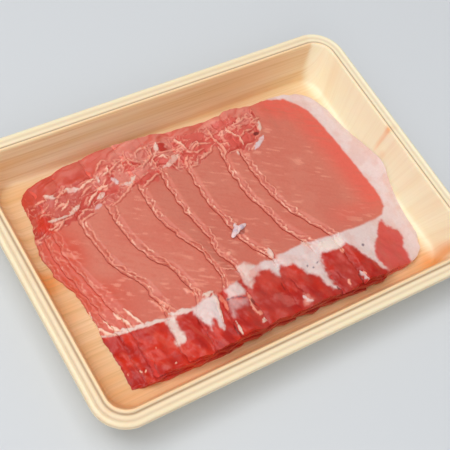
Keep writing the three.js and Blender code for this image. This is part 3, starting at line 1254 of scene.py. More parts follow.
SEAM_STROKES = (
    Stroke(
        ((-82, -27.5), (-77, -29.3), (-71, -30.3), (-64, -31), (-57, -32.2), (-49, -33.3)),
        1.8, Tone.SEAM, 0.3,
    ),
    Stroke(((-49, -31.4), (-44, -32.6), (-38, -34)), 2.2, Tone.SEAM, 0.3),
    Stroke(
        ((-79.5, -16.5), (-80.3, -20.3), (-80, -24.3), (-77.4, -28.3), (-73.7, -30.6)),
        1.3, Tone.CURL, 0.6, 1.0,
    ),
    Stroke(((-75.9, -21.5), (-75.2, -25.8), (-71.4, -29.6)), 1.4, Tone.CURL, 0.6, 1.0),
    Stroke(((-70.6, -20.6), (-68.8, -24.6), (-66.2, -29.6)), 1.5, Tone.CURL, 0.6, 1.0),
    Stroke(((-65.2, -21), (-63.8, -25.6), (-61.5, -30.6)), 1.5, Tone.CURL, 0.6, 1.0),
    Stroke(((-53.3, -22), (-50.8, -26.6), (-48.4, -30.9)), 1.3, Tone.BURR, 0.5),
    Stroke(((-50.2, -23), (-47.6, -27.6), (-45, -31.6)), 1.3, Tone.BURR, 0.5),
    Stroke(((-37, -22.8), (-35, -26), (-32.8, -28.8)), 1.3, Tone.BURR, 0.5),
    Stroke(((-32.9, -23.8), (-31.6, -25.8), (-30.4, -27.6)), 1.1, Tone.BURR, 0.5),
    Stroke(((-31, -29.6), (-28, -30.2), (-25.6, -29.6)), 1.6, Tone.CREAM, 0.6),
    Stroke(((-24.2, -32), (-23.6, -37), (-25, -42)), 1.8, Tone.SALMON, 0.2, 0.8),
    Stroke(((-26.2, -30), (-26.6, -36), (-28.6, -44)), 1.3, Tone.CREAM, 0.5),
    Stroke(((-16.5, -21), (-13, -23.4), (-10, -25)), 1.1, Tone.BURR, 0.5),
    Stroke(((3, -21), (4.4, -23), (5.4, -25)), 1.4, Tone.BURR, 0.6),
    Stroke(((8.9, -21.6), (8.6, -24), (8, -27)), 2.0, Tone.CREAM, 0.7),
    Stroke(((25, -24.8), (26.2, -26.6), (27.8, -27.6)), 1.4, Tone.CREAM, 0.5),
    Stroke(((-12, -36.5), (-12.6, -41.5), (-12.9, -46), (-12, -50)), 0.9, Tone.BURR, 0.5),
    Stroke(((42, -49.6), (42.6, -52.4), (43.8, -55)), 1.5, Tone.LAVENDER, 0.5),
    Stroke(((43.6, -50.4), (44.4, -53)), 1.1, Tone.BURR, 0.45),
)
# Strokes in the gleam tone are painted highlight on the filaments
CHAIN_STROKES = (
    Stroke(((-71.5, 43.5), (-67, 41)), 2.0, Tone.CREAM, 0.5),
    Stroke(((-61.5, 43), (-55, 41)), 2.3, Tone.CREAM, 0.5),
    Stroke(((-67, 41), (-62.5, 42), (-60.5, 42.5)), 0.9, Tone.BURR, 0.6),
    Stroke(((-55.5, 40.5), (-52.5, 42), (-49.5, 43), (-45.5, 43)), 1.0, Tone.PAINTED_HIGHLIGHT, 0.6),
    Stroke(((-44, 46.5), (-41.5, 49), (-38.5, 51), (-36.5, 49.5)), 0.9, Tone.BURR, 0.6),
    Stroke(((-42, 43.5), (-39, 44), (-37.5, 47.5)), 0.9, Tone.PAINTED_HIGHLIGHT, 0.6),
    Stroke(((-45, 44), (-45, 40.5)), 1.9, Tone.CREAM, 0.5),
    Stroke(((-39, 41.5), (-37.5, 44.5), (-33.5, 46.5), (-30, 47.5)), 0.9, Tone.BURR, 0.6),
    Stroke(((-38.5, 40.5), (-37, 37)), 1.9, Tone.LAVENDER, 0.4),
    Stroke(((-36, 35.5), (-32, 34.5), (-28, 37)), 2.0, Tone.CREAM, 0.4),
    Stroke(((-45, 27), (-40.5, 28.5), (-35, 31.5), (-29, 35.5)), 0.9, Tone.BURR, 0.6),
    Stroke(((-48.5, 37.5), (-43, 37.5), (-41.5, 38.5)), 0.9, Tone.PAINTED_HIGHLIGHT, 0.6),
    Stroke(((-50, 33), (-46, 34.5)), 2.4, Tone.CREAM, 0.4),
    Stroke(((-53, 28.5), (-49.5, 30)), 2.2, Tone.LAVENDER, 0.2, 0.5),
    Stroke(((-55.5, 31.5), (-52, 34.5), (-48, 37)), 0.9, Tone.PAINTED_HIGHLIGHT, 0.6),
    Stroke(((-55.5, 37.5), (-53, 39.5), (-49, 40.5)), 0.8, Tone.BURR, 0.6),
    Stroke(((-65, 30), (-62, 32), (-59, 33)), 2.0, Tone.CREAM, 0.5),
    Stroke(((-76, 31), (-72.5, 30.5), (-69, 30.5), (-65, 30)), 1.2, Tone.CREAM, 0.6),
    Stroke(((-69, 29.5), (-70, 27.5), (-73, 25.5), (-75.5, 25.5)), 0.9, Tone.BURR, 0.6),
    Stroke(((-77, 27), (-73, 27)), 0.8, Tone.PAINTED_HIGHLIGHT, 0.6),
    Stroke(((-77.5, 40.5), (-74.5, 41.5), (-71, 41)), 0.9, Tone.BURR, 0.6),
    Stroke(((-76, 36), (-72.5, 38), (-71.5, 39)), 0.8, Tone.BURR, 0.6),
    Stroke(((-65, 35.5), (-62, 37.5)), 0.8, Tone.BURR, 0.6),
    Stroke(((-62, 24.5), (-59, 26), (-54.5, 27)), 0.9, Tone.BURR, 0.6),
    Stroke(
        ((-23, 46), (-22, 48.5), (-18.5, 50), (-14.5, 48), (-15.5, 44.5), (-19.5, 43), (-22, 43.5)),
        0.8, Tone.BURR, 0.6,
    ),
    Stroke(((-27, 52), (-28, 48), (-27.5, 44), (-25, 41)), 0.7, Tone.BURR, 0.5),
    Stroke(((-22.5, 40.5), (-18.5, 43), (-16, 44)), 0.8, Tone.BURR, 0.6),
    Stroke(((-28, 30), (-22.5, 32.5), (-16.5, 34.5)), 1.1, Tone.BURR, 0.6),
    Stroke(((-67.5, 34), (-65, 35), (-62, 37)), 0.8, Tone.PAINTED_HIGHLIGHT, 0.6),
    Stroke(((-78, 34.5), (-75.5, 35), (-72.5, 34)), 0.8, Tone.BURR, 0.6),
    Stroke(((-10.5, 49.5), (-12.5, 45.5)), 2.2, Tone.CREAM, 0.5),
    Stroke(((-1.5, 48.5), (0.5, 45), (2, 41)), 0.9, Tone.PAINTED_HIGHLIGHT, 0.6),
    Stroke(((-8.5, 44), (-3, 42.5), (-0.5, 39.5)), 0.9, Tone.BURR, 0.6),
    Stroke(((3.5, 39.5), (7.5, 42), (12.5, 40), (14.5, 39.5)), 0.8, Tone.BURR, 0.6),
    Stroke(((3, 38.5), (6, 37.5), (9.5, 38.5)), 0.8, Tone.BURR, 0.6),
    Stroke(((5, 33.5), (11.5, 35.5), (14, 38)), 0.9, Tone.BURR, 0.6),
    Stroke(((16.5, 47.5), (16.5, 41), (18.5, 36.5), (18.5, 32.5), (16, 29)), 1.2, Tone.BURR, 0.6),
    Stroke(((19, 37), (22, 36.5), (22, 34)), 0.9, Tone.BURR, 0.6),
    Stroke(((25.5, 44.5), (26.5, 41), (29, 37), (29, 33)), 0.9, Tone.PAINTED_HIGHLIGHT, 0.6),
    Stroke(((29.5, 36.5), (33, 39), (38, 39)), 0.9, Tone.BURR, 0.6),
    Stroke(((39, 43), (44.5, 43.5)), 0.7, Tone.BURR, 0.5),
    Stroke(((43.5, 42), (41, 36.5)), 1.8, Tone.CREAM, 0.3),
    Stroke(((32.5, 28), (37.5, 31), (40.5, 33)), 2.2, Tone.LAVENDER, 0.3),
    Stroke(((-2, 34.5), (-1.5, 31.5), (2, 31)), 0.9, Tone.BURR, 0.6),
    Stroke(((24, 30.5), (24, 28)), 1.0, Tone.CREAM, 0.5),
    Stroke(((0.5, 37.5), (-2.5, 35), (-3, 32)), 0.9, Tone.BURR, 0.6),
    Stroke(((-13.5, 42), (-10.5, 42), (-9.5, 40)), 0.8, Tone.PAINTED_HIGHLIGHT, 0.6),
    Stroke(((-13.5, 36), (-9, 37.5), (-4, 39.5)), 2.6, Tone.CREAM, 0.15, 0.7),
)
CHAIN_GROUND = (
    Spot(-77.5, 29, 6.0, 9.0, 10, Tone.TAIL_BRIGHT, 0.0, 0.7),
    Spot(-20, 33.8, 7.0, 5.0, 20, Tone.CHAIN_RED, 0.1),
    Spot(-58.5, 36.5, 6.0, 3.0, 20, Tone.DEEP_RED_AND_PAINTED_SHADE, 0.0, 0.5),
    Spot(-9.2, 47.4, 3.4, 4.6, 10, Tone.TAIL, 0.0),
    Spot(7.5, 38.5, 8.5, 4.0, 18, Tone.CHAIN_RED, 0.1),
    Spot(25, 36, 6.0, 3.8, 20, Tone.CHAIN_RED, 0.1),
    Spot(34, 34.8, 5.4, 4.2, 10, Tone.CHAIN_RED, 0.1),
    Spot(-41, 34.5, 6.5, 4.2, 10, Tone.CHAIN_RED, 0.1),
)
DARK_STROKES = (
    Stroke(((-20.6, -36.2), (-17, -37), (-13.1, -38.6)), 0.5, Tone.BLUISH, -0.3, 0.8),
    Stroke(((-12.4, -39.7), (-11.5, -44.6), (-10.5, -50)), 1.1, Tone.DARK, -0.5, 0.8),
    Stroke(((4.8, -39), (5.1, -43.6)), 0.8, Tone.DARK, -0.35, 0.7),
    Stroke(((10.1, -39.2), (11.3, -46), (12.8, -49.4)), 0.6, Tone.TAIL_DARK, -0.3, 0.8),
    Stroke(((27.8, -52), (28.2, -57)), 1.1, Tone.DARK, -0.4, 0.85),
    Stroke(((31.5, -44), (33, -50)), 0.7, Tone.TAIL_DARK, -0.3, 0.8),
    Stroke(((-25.7, -47.8), (-26, -50.8), (-25, -53.4)), 1.0, Tone.DARK, -0.4, 0.8),
    Stroke(((41, -50), (40.6, -55.6)), 0.8, Tone.DARK, -0.3, 0.8),
)
SPOTS = (
    Spot(38.5, 35.7, 1.8, 1.5, 0, Tone.DARK, -0.4),
    Spot(-9.2, -16.4, 2.0, 1.5, 30, Tone.BURR, 0.5, 0.8),
    # Painted shadow beside the fat scrap
    Spot(2.9, -8.6, 3.0, 2.4, 20, Tone.DARK, -0.3, 0.55),
    Spot(-21.3, -36.1, 1.3, 0.9, -10, Tone.BLUISH, -0.2),
    Spot(26.4, -37.3, 1.2, 0.6, 20, Tone.BLUISH, -0.1, 0.7),
    Spot(20.9, -37.1, 0.9, 0.6, 20, Tone.BLUISH, -0.1, 0.7),
    Spot(23.3, -38.7, 0.8, 0.6, 0, Tone.BLUISH, -0.1, 0.8),
    Spot(51.9, -38.6, 0.9, 0.7, 0, Tone.BLUISH, -0.1, 0.8),
    Spot(2.0, -46.5, 9.0, 4.0, -40, Tone.HAZE, 0.0, 0.28),
    Spot(-12.2, -51.7, 1.5, 0.8, 60, Tone.CREAM, 0.4, 0.8),
    Spot(11.2, -50.4, 1.0, 3.4, 20, Tone.CAP, 0.4, 0.8),
    Spot(12.2, -52.8, 2.6, 0.9, -20, Tone.CAP, 0.4, 0.7),
    Spot(34.6, -51.8, 1.2, 3.4, -10, Tone.BURR, 0.3),
    Spot(40.6, -37, 1.6, 2.6, 0, Tone.BURR, 0.3),
    Spot(-24, -50.6, 0.9, 5.6, -4, Tone.CREAM, 0.2),
    # Painted glints on the wet tail, in the gleam and burr tones
    Spot(-72.7, -49.8, 0.6, 1.3, 30, Tone.PAINTED_HIGHLIGHT, 0.3, 0.8),
    Spot(-70.9, -50.5, 1.3, 0.6, 50, Tone.PAINTED_HIGHLIGHT, 0.3, 0.8),
    Spot(-78.4, -48.7, 0.6, 1.6, 10, Tone.BURR, 0.3, 0.7),
    Spot(-57.4, -52.6, 0.9, 0.5, 30, Tone.PAINTED_HIGHLIGHT, 0.3, 0.7),
    Spot(-61.7, -42.9, 0.8, 0.4, 70, Tone.BURR, 0.2, 0.6),
)


@dataclass
class Skin:
    """The look of one slice's upper face: its places as read, with colour, lift and dullness at each."""

    PLAIN_DULL = 0.45
    HOLLOW_REACH = 3
    x: Array
    y: Array
    grid: tuple[int, int]
    fat: Array = field(init=False)
    colour: Array = field(init=False)
    lift: Array = field(init=False)
    dull: Array = field(init=False)

    def __post_init__(self) -> None:
        """Starts with the plain colour of the loin's eye."""
        self.colour = np.repeat(linear(Tone.EYE.value)[None, :], len(self.x), axis=0)
        self.lift = np.zeros(len(self.x))
        self.fat = np.zeros(len(self.x))
        self.dull = np.full(len(self.x), self.PLAIN_DULL)

    def lay(self, tone: Tone, share: Array, lift: float = 0.0, dull: float | None = None) -> None:
        """Lays a colour over the skin, with its lift and dullness.

        Args:
            tone: the colour.
            share: how much of it each place gets.
            lift: height that it adds in full.
            dull: dullness that it brings, or None to leave the skin's.
        """
        self.colour += share[:, None] * (linear(tone.value) - self.colour)
        self.lift += share * lift
        if dull is not None:
            self.dull += share * (dull - self.dull)

    def paint_hollow_shade(self) -> None:
        """Darkens the hollows of the relief with a deep red as painted shade.

        A hollow is lower than the mean of its surroundings, which is taken along one side of the grid and
        then along the other.
        """
        lift = self.lift.reshape(self.grid)
        reach, size = self.HOLLOW_REACH, 2 * self.HOLLOW_REACH + 1
        mean = lift
        for axis in (0, 1):
            wide = np.pad(mean, [(reach, reach) if side == axis else (0, 0) for side in (0, 1)], mode="edge")
            total = np.cumsum(wide, axis=axis)
            total = np.concatenate([np.zeros_like(np.take(total, [0], axis)), total], axis=axis)
            count = self.grid[axis]
            after = np.take(total, range(size, count + size), axis)
            mean = (after - np.take(total, range(count), axis)) / size
        # Painted shade in the hollows of the relief
        self.lay(Tone.DEEP_RED_AND_PAINTED_SHADE, 0.4 * smooth((mean - lift).ravel() / 0.16))

    def mark(self, marks: tuple[Spot | Stroke | Area, ...], wobble: Array, dull: float) -> None:
        """Lays marks one after the other, a haze round an area and a painted shadow below a raised stroke.

        Args:
            marks: the marks.
            wobble: noise at each place, which moves the marks' borders.
            dull: dullness that the marks bring.
        """
        for one in marks:
            if isinstance(one, Area):
                self.lay(Tone.HAZE, one.halo(self.x, self.y, wobble))
            if isinstance(one, Stroke) and one.lift >= RAISED:
                # Painted shadow, offset a little to the right and to the near side of the raised stroke
                self.lay(Tone.DEEP_RED_AND_PAINTED_SHADE, 0.65 * one.cover(self.x - 0.5, self.y + 0.6, wobble))
            cover = one.cover(self.x, self.y, wobble)
            self.lay(one.tone, cover, one.lift, dull)
            self.fat = np.maximum(self.fat, cover) if one.tone in FAT_TONES else self.fat * (1 - cover)


class Anatomy:
    """Paints the loin's eye, chain, fat cap, seam and tail on a slice.

    Each call of lay names a tone, how strong it is at most and where it shows. Places are in millimetres on
    the reading plane, so smooth((x - 40.0) / 14.0) runs from none at an x of 40 to all at 54. A number that
    is added to a place inside a noise only picks another part of that noise.
    """

    GRAIN_TURN_DEG = 17.0
    FLECK_TURN = (0.84, 0.54)

    def __init__(self) -> None:
        """Draws the noise that all slices share."""
        self.broad = Noise(3, 2)
        self.fine = Noise(5, 3)
        self.streaks = Noise(7, 2)
        self.lobes = Noise(13, 1)

    def paint(self, skin: Skin, from_left: Array) -> None:
        """Lays all of a slice's colours and relief.

        Args:
            skin: the slice's look, with its places.
            from_left: how far each place is from the slice's left edge.
        """
        wobble = self.fine(skin.x, skin.y, 3.2)
        self.eye(skin)
        self.burrs(skin, from_left)
        self.chain(skin, wobble)
        self.cap(skin, wobble)
        self.tail(skin, from_left, wobble)
        skin.mark(CHAIN_GROUND, wobble, 0.3)
        skin.paint_hollow_shade()
        skin.mark(CHAIN_STROKES, wobble, 0.25)
        skin.mark(WHITE_AREAS, wobble, 0.5)
        skin.mark(SEAM_STROKES, wobble, 0.4)
        self.marble(skin, wobble)
        skin.mark(DARK_STROKES, wobble, 0.4)
        skin.mark(SPOTS, wobble, 0.4)

    def eye(self, skin: Skin) -> None:
        """The smooth eye: redder to the left and along its rim, with fine pale flecks.

        Args:
            skin: the slice's look.
        """
        x, y = skin.x, skin.y
        patch = self.broad(x, y, 14.0)
        skin.lay(Tone.EYE_DEEP, 0.45 * smooth(0.5 + patch))
        skin.lay(Tone.LEFT_RED, 0.9 * smooth((-56.0 - x + 5 * patch) / 20.0))
        skin.lay(Tone.EYE_DEEP, 0.5 * smooth((-14.0 - y + 4 * patch) / 12.0))
        rim = depth_inside(x, y, EYE_END)
        near_rim = smooth((17.0 - rim) / 13.0) * smooth((x - 40.0) / 14.0) * smooth((y + 31.0) / 14.0)
        skin.lay(Tone.RIM_RED, 0.9 * near_rim)
        c, s = self.FLECK_TURN
        turned_x, turned_y = x * c - y * s, y * c + x * s
        fleck = self.streaks(turned_x * 0.2, turned_y, 1.0)
        where = smooth(0.4 + self.broad(x + 9.0, y, 11.0)) * (1 - near_rim)
        skin.lay(Tone.BURR, 0.5 * where * smooth((fleck - 0.36) / 0.5))
        skin.lay(Tone.EYE_DEEP, 0.5 * smooth((-fleck - 0.35) / 0.5))
        skin.lift += 0.05 * self.fine(x, y, 1.6)

    def calm(self, x: Array, y: Array) -> Array:
        """Where a slice's edge lies smooth: in the tail, in the outer strip, and partly at the left.

        Args:
            x, y: the places.

        Returns:
            The share of smoothness at each place.
        """
        tail = smooth((line_at(SEAM_LINE, x) - y) / 3.0 + 0.5)
        strip = smooth((y - line_at(STRIP_LOW, x)) / 3.0 + 0.5)
        return np.maximum(np.maximum(0.85 * tail, 0.9 * strip), 0.65 * smooth((-60.0 - x) / 7.0))

    def burrs(self, skin: Skin, from_left: Array) -> None:
        """The cut left edge: two ragged pale burrs, a dip between them, and lines of painted contact shadow.

        The burrs carry painted highlight in broken dashes.

        Args:
            skin: the slice's look.
            from_left: how far each place is from the slice's left edge.
        """
        x, y = skin.x, skin.y
        shown = 1 - self.calm(x, y)
        edge = 0.3 * (x - from_left)
        ragged, second = self.fine(edge, y, 1.6), self.fine(edge + 31.0, y, 4.2)
        jagged, broken = self.fine(edge - 57.0, y, 1.5), self.fine(edge + 83.0, y, 3.4)
        wide = 2.1 + 1.5 * second + 0.5 * jagged
        lower = hump(from_left - 0.7 - 0.5 * ragged, 0.29)
        upper = hump(from_left - wide, 0.31) * smooth(0.8 + 1.8 * broken)
        skin.lay(Tone.BURR_VALLEY, 0.5 * shown * smooth((wide - from_left) / 0.8))
        # Painted contact shadow just left of the second burr
        skin.lay(Tone.PAINTED_CONTACT_SHADOW, 0.5 * shown * hump(from_left - wide + 0.7, 0.3) * smooth(0.85 + 1.8 * broken))
        line = np.clip(lower * (0.85 + 0.3 * ragged) + upper, 0, 1) * shown
        skin.lay(Tone.BURR, 0.62 * line, 0.0, 0.3)
        # Painted highlight on the burrs, broken into dashes
        skin.lay(Tone.PAINTED_HIGHLIGHT, 0.8 * line * smooth((self.streaks(x * 0.3, y, 1.8) - 0.25) / 0.3), 0.0, 0.2)
        # Painted contact shadow along the cut edge
        skin.lay(Tone.PAINTED_CONTACT_SHADOW, 0.8 * shown * smooth((0.3 - from_left) / 0.3))
        skin.lift += shown * (0.34 * lower * (1 + ragged) + 0.36 * upper * (1 + 0.8 * jagged))

    def chain(self, skin: Skin, wobble: Array) -> None:
        """The coarse muscle at the far side: red and pink lobes with pale filaments, then a smooth strip.

        The lobes are a stretched noise, and the filaments lie where that noise is near 0. The filaments
        carry painted highlight in places, and a band on one side of each gets painted shadow.

        Args:
            skin: the slice's look.
            wobble: noise at each place.
        """
        x, y = skin.x, skin.y
        share = smooth((y - line_at(CHAIN_LOW, x) + 1.3 * wobble) / 1.6 + 0.5)
        strip = smooth((y - line_at(STRIP_LOW, x) + 1.6 * wobble) / 2.5 + 0.5) * share
        rough = share * (1 - strip)
        c, s = math.cos(math.radians(self.GRAIN_TURN_DEG)), math.sin(math.radians(self.GRAIN_TURN_DEG))
        bend, turn = self.broad(x + 70.0, y, 6.5), self.broad(x - 70.0, y, 5.0)
        u, v = x * c + y * s + 2.2 * turn, y * c - x * s + 1.7 * bend
        right = smooth((x + 48.0) / 20.0)
        lobe = self.lobes(u * 0.3, v, 3.1) * (1 - right) + self.lobes(u * 0.62 + 40.0, v, 3.7) * right
        small = self.lobes(u * 0.4 + 50.0, v + 20.0, 2.6)
        skin.lay(Tone.CHAIN_PINK, share)
        skin.lay(Tone.CHAIN_RED, 0.9 * rough * smooth(lobe / 0.4 + 0.45))
        skin.lay(Tone.DEEP_RED_AND_PAINTED_SHADE, 0.6 * rough * smooth((-38.0 - x + 6 * turn) / 18.0))
        thread = smooth((0.16 - np.abs(lobe)) / 0.12) * smooth(0.7 + 1.6 * wobble)
        hair = smooth((0.13 - np.abs(small)) / 0.1) * smooth((turn + 0.4) / 0.4)
        speck = smooth((self.fine(u * 0.7, v + 11.0, 1.5) - 0.42) / 0.2)
        pale = np.maximum(np.maximum(0.8 * thread, 0.7 * hair), 0.6 * speck)
        # A band on one side of each filament gets painted shadow
        beside = smooth((0.2 - np.abs(lobe - 0.34)) / 0.16) * (1 - pale)
        skin.lay(Tone.DEEP_RED_AND_PAINTED_SHADE, 0.55 * rough * beside)
        skin.lay(Tone.DEEP_RED_AND_PAINTED_SHADE, 0.5 * rough * smooth((-self.fine(u * 0.6 + 5.0, v, 1.9) - 0.3) / 0.2))
        skin.lay(Tone.BURR, 0.85 * rough * pale, 0.0, 0.2)
        # Painted highlight on the filaments
        skin.lay(Tone.PAINTED_HIGHLIGHT, 0.5 * rough * pale * smooth(wobble / 0.4), 0.0, 0.15)
        skin.lift += rough * (0.6 * pale - 0.2 - 0.2 * beside + 0.2 * lobe)
        skin.lay(Tone.STRIP, 0.9 * strip)
        skin.lay(Tone.STRIP_RIGHT, 0.8 * strip * smooth((x + 45.0) / 15.0))
        skin.lay(Tone.LEFT_RED, 0.85 * strip * smooth((-44.0 - x + 4 * turn) / 14.0))
        folds = self.streaks(u * 0.16, v, 2.4)
        skin.lay(Tone.BURR, 0.25 * strip * smooth((folds - 0.25) / 0.4))
        skin.lay(Tone.LEFT_RED, 0.6 * strip * smooth((-folds - 0.1) / 0.5))
        skin.lay(Tone.DEEP_RED_AND_PAINTED_SHADE, 0.42 * strip * smooth((-24.0 - x) / 30.0), 0.0, 0.55)
        skin.lift += 0.3 * strip * folds

    def cap(self, skin: Skin, wobble: Array) -> None:
        """The white fat round the end of the eye.

        Args:
            skin: the slice's look.
            wobble: noise at each place.
        """
        outside = -depth_inside(skin.x, skin.y, EYE_END)
        share = smooth((outside + 0.35 * wobble) / 1.4 + 0.5) * smooth((skin.x - 9.0) / 4.0)
        skin.lay(Tone.CAP, share, 0.0, 0.55)
        skin.fat = share

    def marble(self, skin: Skin, wobble: Array) -> None:
        """Soft pinkish unevenness in the white fat.

        Args:
            skin: the slice's look.
            wobble: noise at each place.
        """
        skin.lay(Tone.FAT_SHADE, 0.55 * skin.fat * smooth(0.3 + self.broad(skin.x, skin.y + 71.0, 4.5)))
        upper = smooth((skin.y - 24.0) / 4.0) * smooth((44.0 - skin.x) / 4.0)
        coarse = smooth((8.0 - np.abs(skin.x + 5.0)) / 5.0) + upper
        pink = smooth((self.fine(skin.x + 13.0, skin.y, 2.4) + 0.05) / 0.4)
        skin.lay(Tone.HAZE, 0.42 * skin.fat * np.clip(coarse, 0, 1) * pink)
        skin.lift += 0.12 * skin.fat * wobble

    def tail(self, skin: Skin, from_left: Array, wobble: Array) -> None:
        """The dark red muscle at the near side, streaked and wet.

        Args:
            skin: the slice's look.
            from_left: how far each place is from the slice's left edge.
            wobble: noise at each place.
        """
        x, y = skin.x, skin.y
        left_part = smooth(29.0 - x)
        share = smooth((line_at(SEAM_LINE, x) - y + 0.7 * wobble) / 1.2 + 0.5) * left_part
        cover = share.copy()
        skin.lay(Tone.TAIL, share, 0.0, 0.4)
        skin.fat *= 1 - share
        skin.mark(RED_AREAS, wobble, 0.4)
        for area, weight in zip(RED_AREAS, (1.0, 0.35)):
            cover = np.maximum(cover, weight * area.cover(x, y, wobble))
        patch = self.broad(x + 40.0, y, 7.0)
        grain = self.streaks(x + 0.45 * y, (y - 0.45 * x) * 0.3, 1.9)
        skin.lay(Tone.TAIL_BRIGHT, 0.7 * cover * smooth(0.3 + 1.2 * patch))
        skin.lay(Tone.TAIL_DARK, 0.38 * cover * smooth((grain - 0.15) / 0.7))
        skin.lay(Tone.SALMON, 0.14 * cover * smooth((-grain - 0.3) / 0.5))
        # Darker along the cut left edge: painted contact shadow where the edge meets the slice below
        skin.lay(Tone.TAIL_DARK, 0.5 * cover * smooth(1.0 - from_left))
        faded = smooth((x + 24.0) / 12.0) * smooth(0.6 + self.broad(x, y + 31.0, 6.0))
        skin.lay(Tone.TAIL_DULL, 0.4 * cover * faded)
        skin.lay(Tone.TAIL_DARK, 0.28 * cover * smooth((x + 30.0) / 12.0) * smooth((-36.0 - y) / 8.0))
        lumps = self.broad(x - 20.0, y, 4.5)
        skin.lift += cover * (0.36 * lumps + 0.1 * wobble + 0.08 * grain)


@dataclass(frozen=True)
class Borders:
    """How far each place of a slice is from the slice's four borders."""

    from_left: Array
    to_right: Array
    from_near: Array
    to_far: Array


class SliceBuilder:
    """Makes the fine body of one slice of the pile."""

    EDGE_ZONE = 4.6
    EDGE_STEP = 0.26
    OPEN_STEP = 0.45
    HIDDEN_STEP = 2.2
    ROW_STEPS = 289
    CLOSER = 0.2
    CAP_BULGE = 1.2
    CORNER_CUT = 2.2
    PAINTED_LIGHT_UNDER = 1.35
    EDGE_SHARE = 0.28
    FEATHER_LESS = 0.24
    LEFT_FRAY = 0.65
    NEAR_FRAY = 0.8
    FAR_FRAY = 0.5

    def __init__(self, pile: Pile, anatomy: Anatomy, sight: Sight, finish: bpy.types.Material) -> None:
        """Keeps what all slices share.

        Args:
            pile: the coarse grid with the slices' lower surfaces.
            anatomy: paints a slice.
            sight: finds where a point was read.
            finish: the meat's material.
        """
        self.pile = pile
        self.anatomy = anatomy
        self.sight = sight
        self.finish = finish
        self.tops: list[Array] = []

    def column_places(self, k: int) -> Array:
        """Where the fine columns stand.

        They stand close at the left edge, wider in the open and widest under the next slice.

        Args:
            k: the slice's number, from 0.

        Returns:
            The place of each column along the pile.
        """
        shape = self.pile.shape
        piece = shape.slices[k]
        last = self.pile.column_x[self.pile.spans[k][1]]
        open_until = shape.slices[k + 1].left if k + 1 < len(shape.slices) else last
        zone_end = min(piece.left + self.EDGE_ZONE, open_until)
        at_edge = max(2, round((zone_end - piece.left) / self.EDGE_STEP))
        in_open = max(1, round((open_until - zone_end) / self.OPEN_STEP))
        hidden = max(2, round((last - open_until) / self.HIDDEN_STEP))
        parts = [
            np.linspace(piece.left, zone_end, at_edge, endpoint=False),
            np.linspace(zone_end, open_until, in_open, endpoint=False),
            np.linspace(open_until, last, hidden) if last > open_until else np.array([last]),
        ]
        return np.concatenate(parts)

    def share(self, k: int, y: Array, borders: Borders) -> Array:
        """Share of the full thickness: low at the cut left edge, rounded at the other borders.

        In the tail and in the outer strip the left edge tapers to a feather edge.

        Args:
            k: the slice's number, from 0.
            y: places across the tray.
            borders: how far each place is from the slice's borders.

        Returns:
            The share at each place.
        """
        shape = self.pile.shape
        step = shape.slices[min(k + 1, len(shape.slices) - 1)].left - shape.slices[k].left
        feather = self.feather(y)
        low = self.EDGE_SHARE - self.FEATHER_LESS * feather
        thins_over = 4.0 + min(max(step - 4.0, 0.0), 5.0) * feather
        left = low + (1 - low) * smooth((borders.from_left + 0.3) / thins_over)
        right = shape.right_share + (1 - shape.right_share) * smooth(borders.to_right / 4.0)
        ends = 0.9 + 0.1 * smooth(np.minimum(borders.from_near, borders.to_far) / 1.2)
        return left * right * ends

    @staticmethod
    def feather(y: Array) -> Array:
        """Where the left edge thins out to nothing: in the tail and in the coarse far muscle."""
        return np.maximum(smooth((-29.0 - y) / 5.0), smooth((y - 30.0) / 6.0))

    def surfaces(self, k: int) -> tuple[Array, Array, Array, Borders]:
        """A slice's fine grid, read from the pile's coarse grid by splines, with uneven borders.

        Args:
            k: the slice's number, from 0.

        Returns:
            The x, the y and the lower face's height at each place, and how far it is from the borders.
        """
        pile, shape = self.pile, self.pile.shape
        first, last = pile.spans[k]
        places = self.column_places(k)
        columns = np.interp(places, pile.column_x, np.arange(len(pile.column_x)))
        rows = np.linspace(0, len(shape.rows) - 1, self.ROW_STEPS)
        across = spline_rows(columns, len(pile.column_x))
        along = spline_rows(rows, len(shape.rows)).T
        x, y = across @ pile.grid_x @ along, across @ pile.grid_y @ along
        lower = spline_rows(columns - first, last - first + 1) @ pile.lowers[k] @ along
        row_share = np.array(shape.rows) @ along
        from_left = np.repeat((places - places[0])[:, None], len(rows), axis=1)
        to_right = places[-1] - places[0] - from_left
        span = y[:, -1:] - y[:, :1]
        borders = Borders(from_left, to_right, row_share[None, :] * span, (1 - row_share[None, :]) * span)
        x, y = self.fray(k, x, y, borders)
        lower = lower - self.CLOSER - 0.12 * self.feather(y) * smooth((1.5 - from_left) / 1.5)
        return x, y, lower, borders

    def bare(self, k: int, borders: Borders) -> Array:
        """Where a slice's relief may rise: not under the next slice, and not at the near and far borders.

        Args:
            k: the slice's number, from 0.
            borders: how far each place is from the slice's borders.

        Returns:
            The share of the relief that each place keeps.
        """
        slices = self.pile.shape.slices
        open_for = slices[k + 1].left - slices[k].left if k + 1 < len(slices) else math.inf
        uncovered = smooth(open_for - 0.2 - borders.from_left)
        return uncovered * smooth(np.minimum(borders.from_near, borders.to_far) / 0.8)

    def build(self, k: int) -> bpy.types.Object:
        """Makes a slice's mesh, paint and finish.

        Args:
            k: the slice's number, from 0.

        Returns:
            The slice.
        """
        shape = self.pile.shape
        x, y, lower, borders = self.surfaces(k)
        relief = self.CLOSER * smooth(borders.from_left / 3.0) + shape.crags(x, y)
        upper = lower + shape.thickness * self.share(k, y, borders) + relief
        points = np.stack([x, y, upper], axis=2).reshape(-1, 3)
        skin = Skin(*self.sight.reading(points), x.shape)
        self.anatomy.paint(skin, borders.from_left.ravel())
        points[:, 2] += skin.lift * self.bare(k, borders).ravel()
        self.tops.append(points)
        piece = self.body(f"loin_slice_{k + 1}", points, lower.ravel(), x.shape)
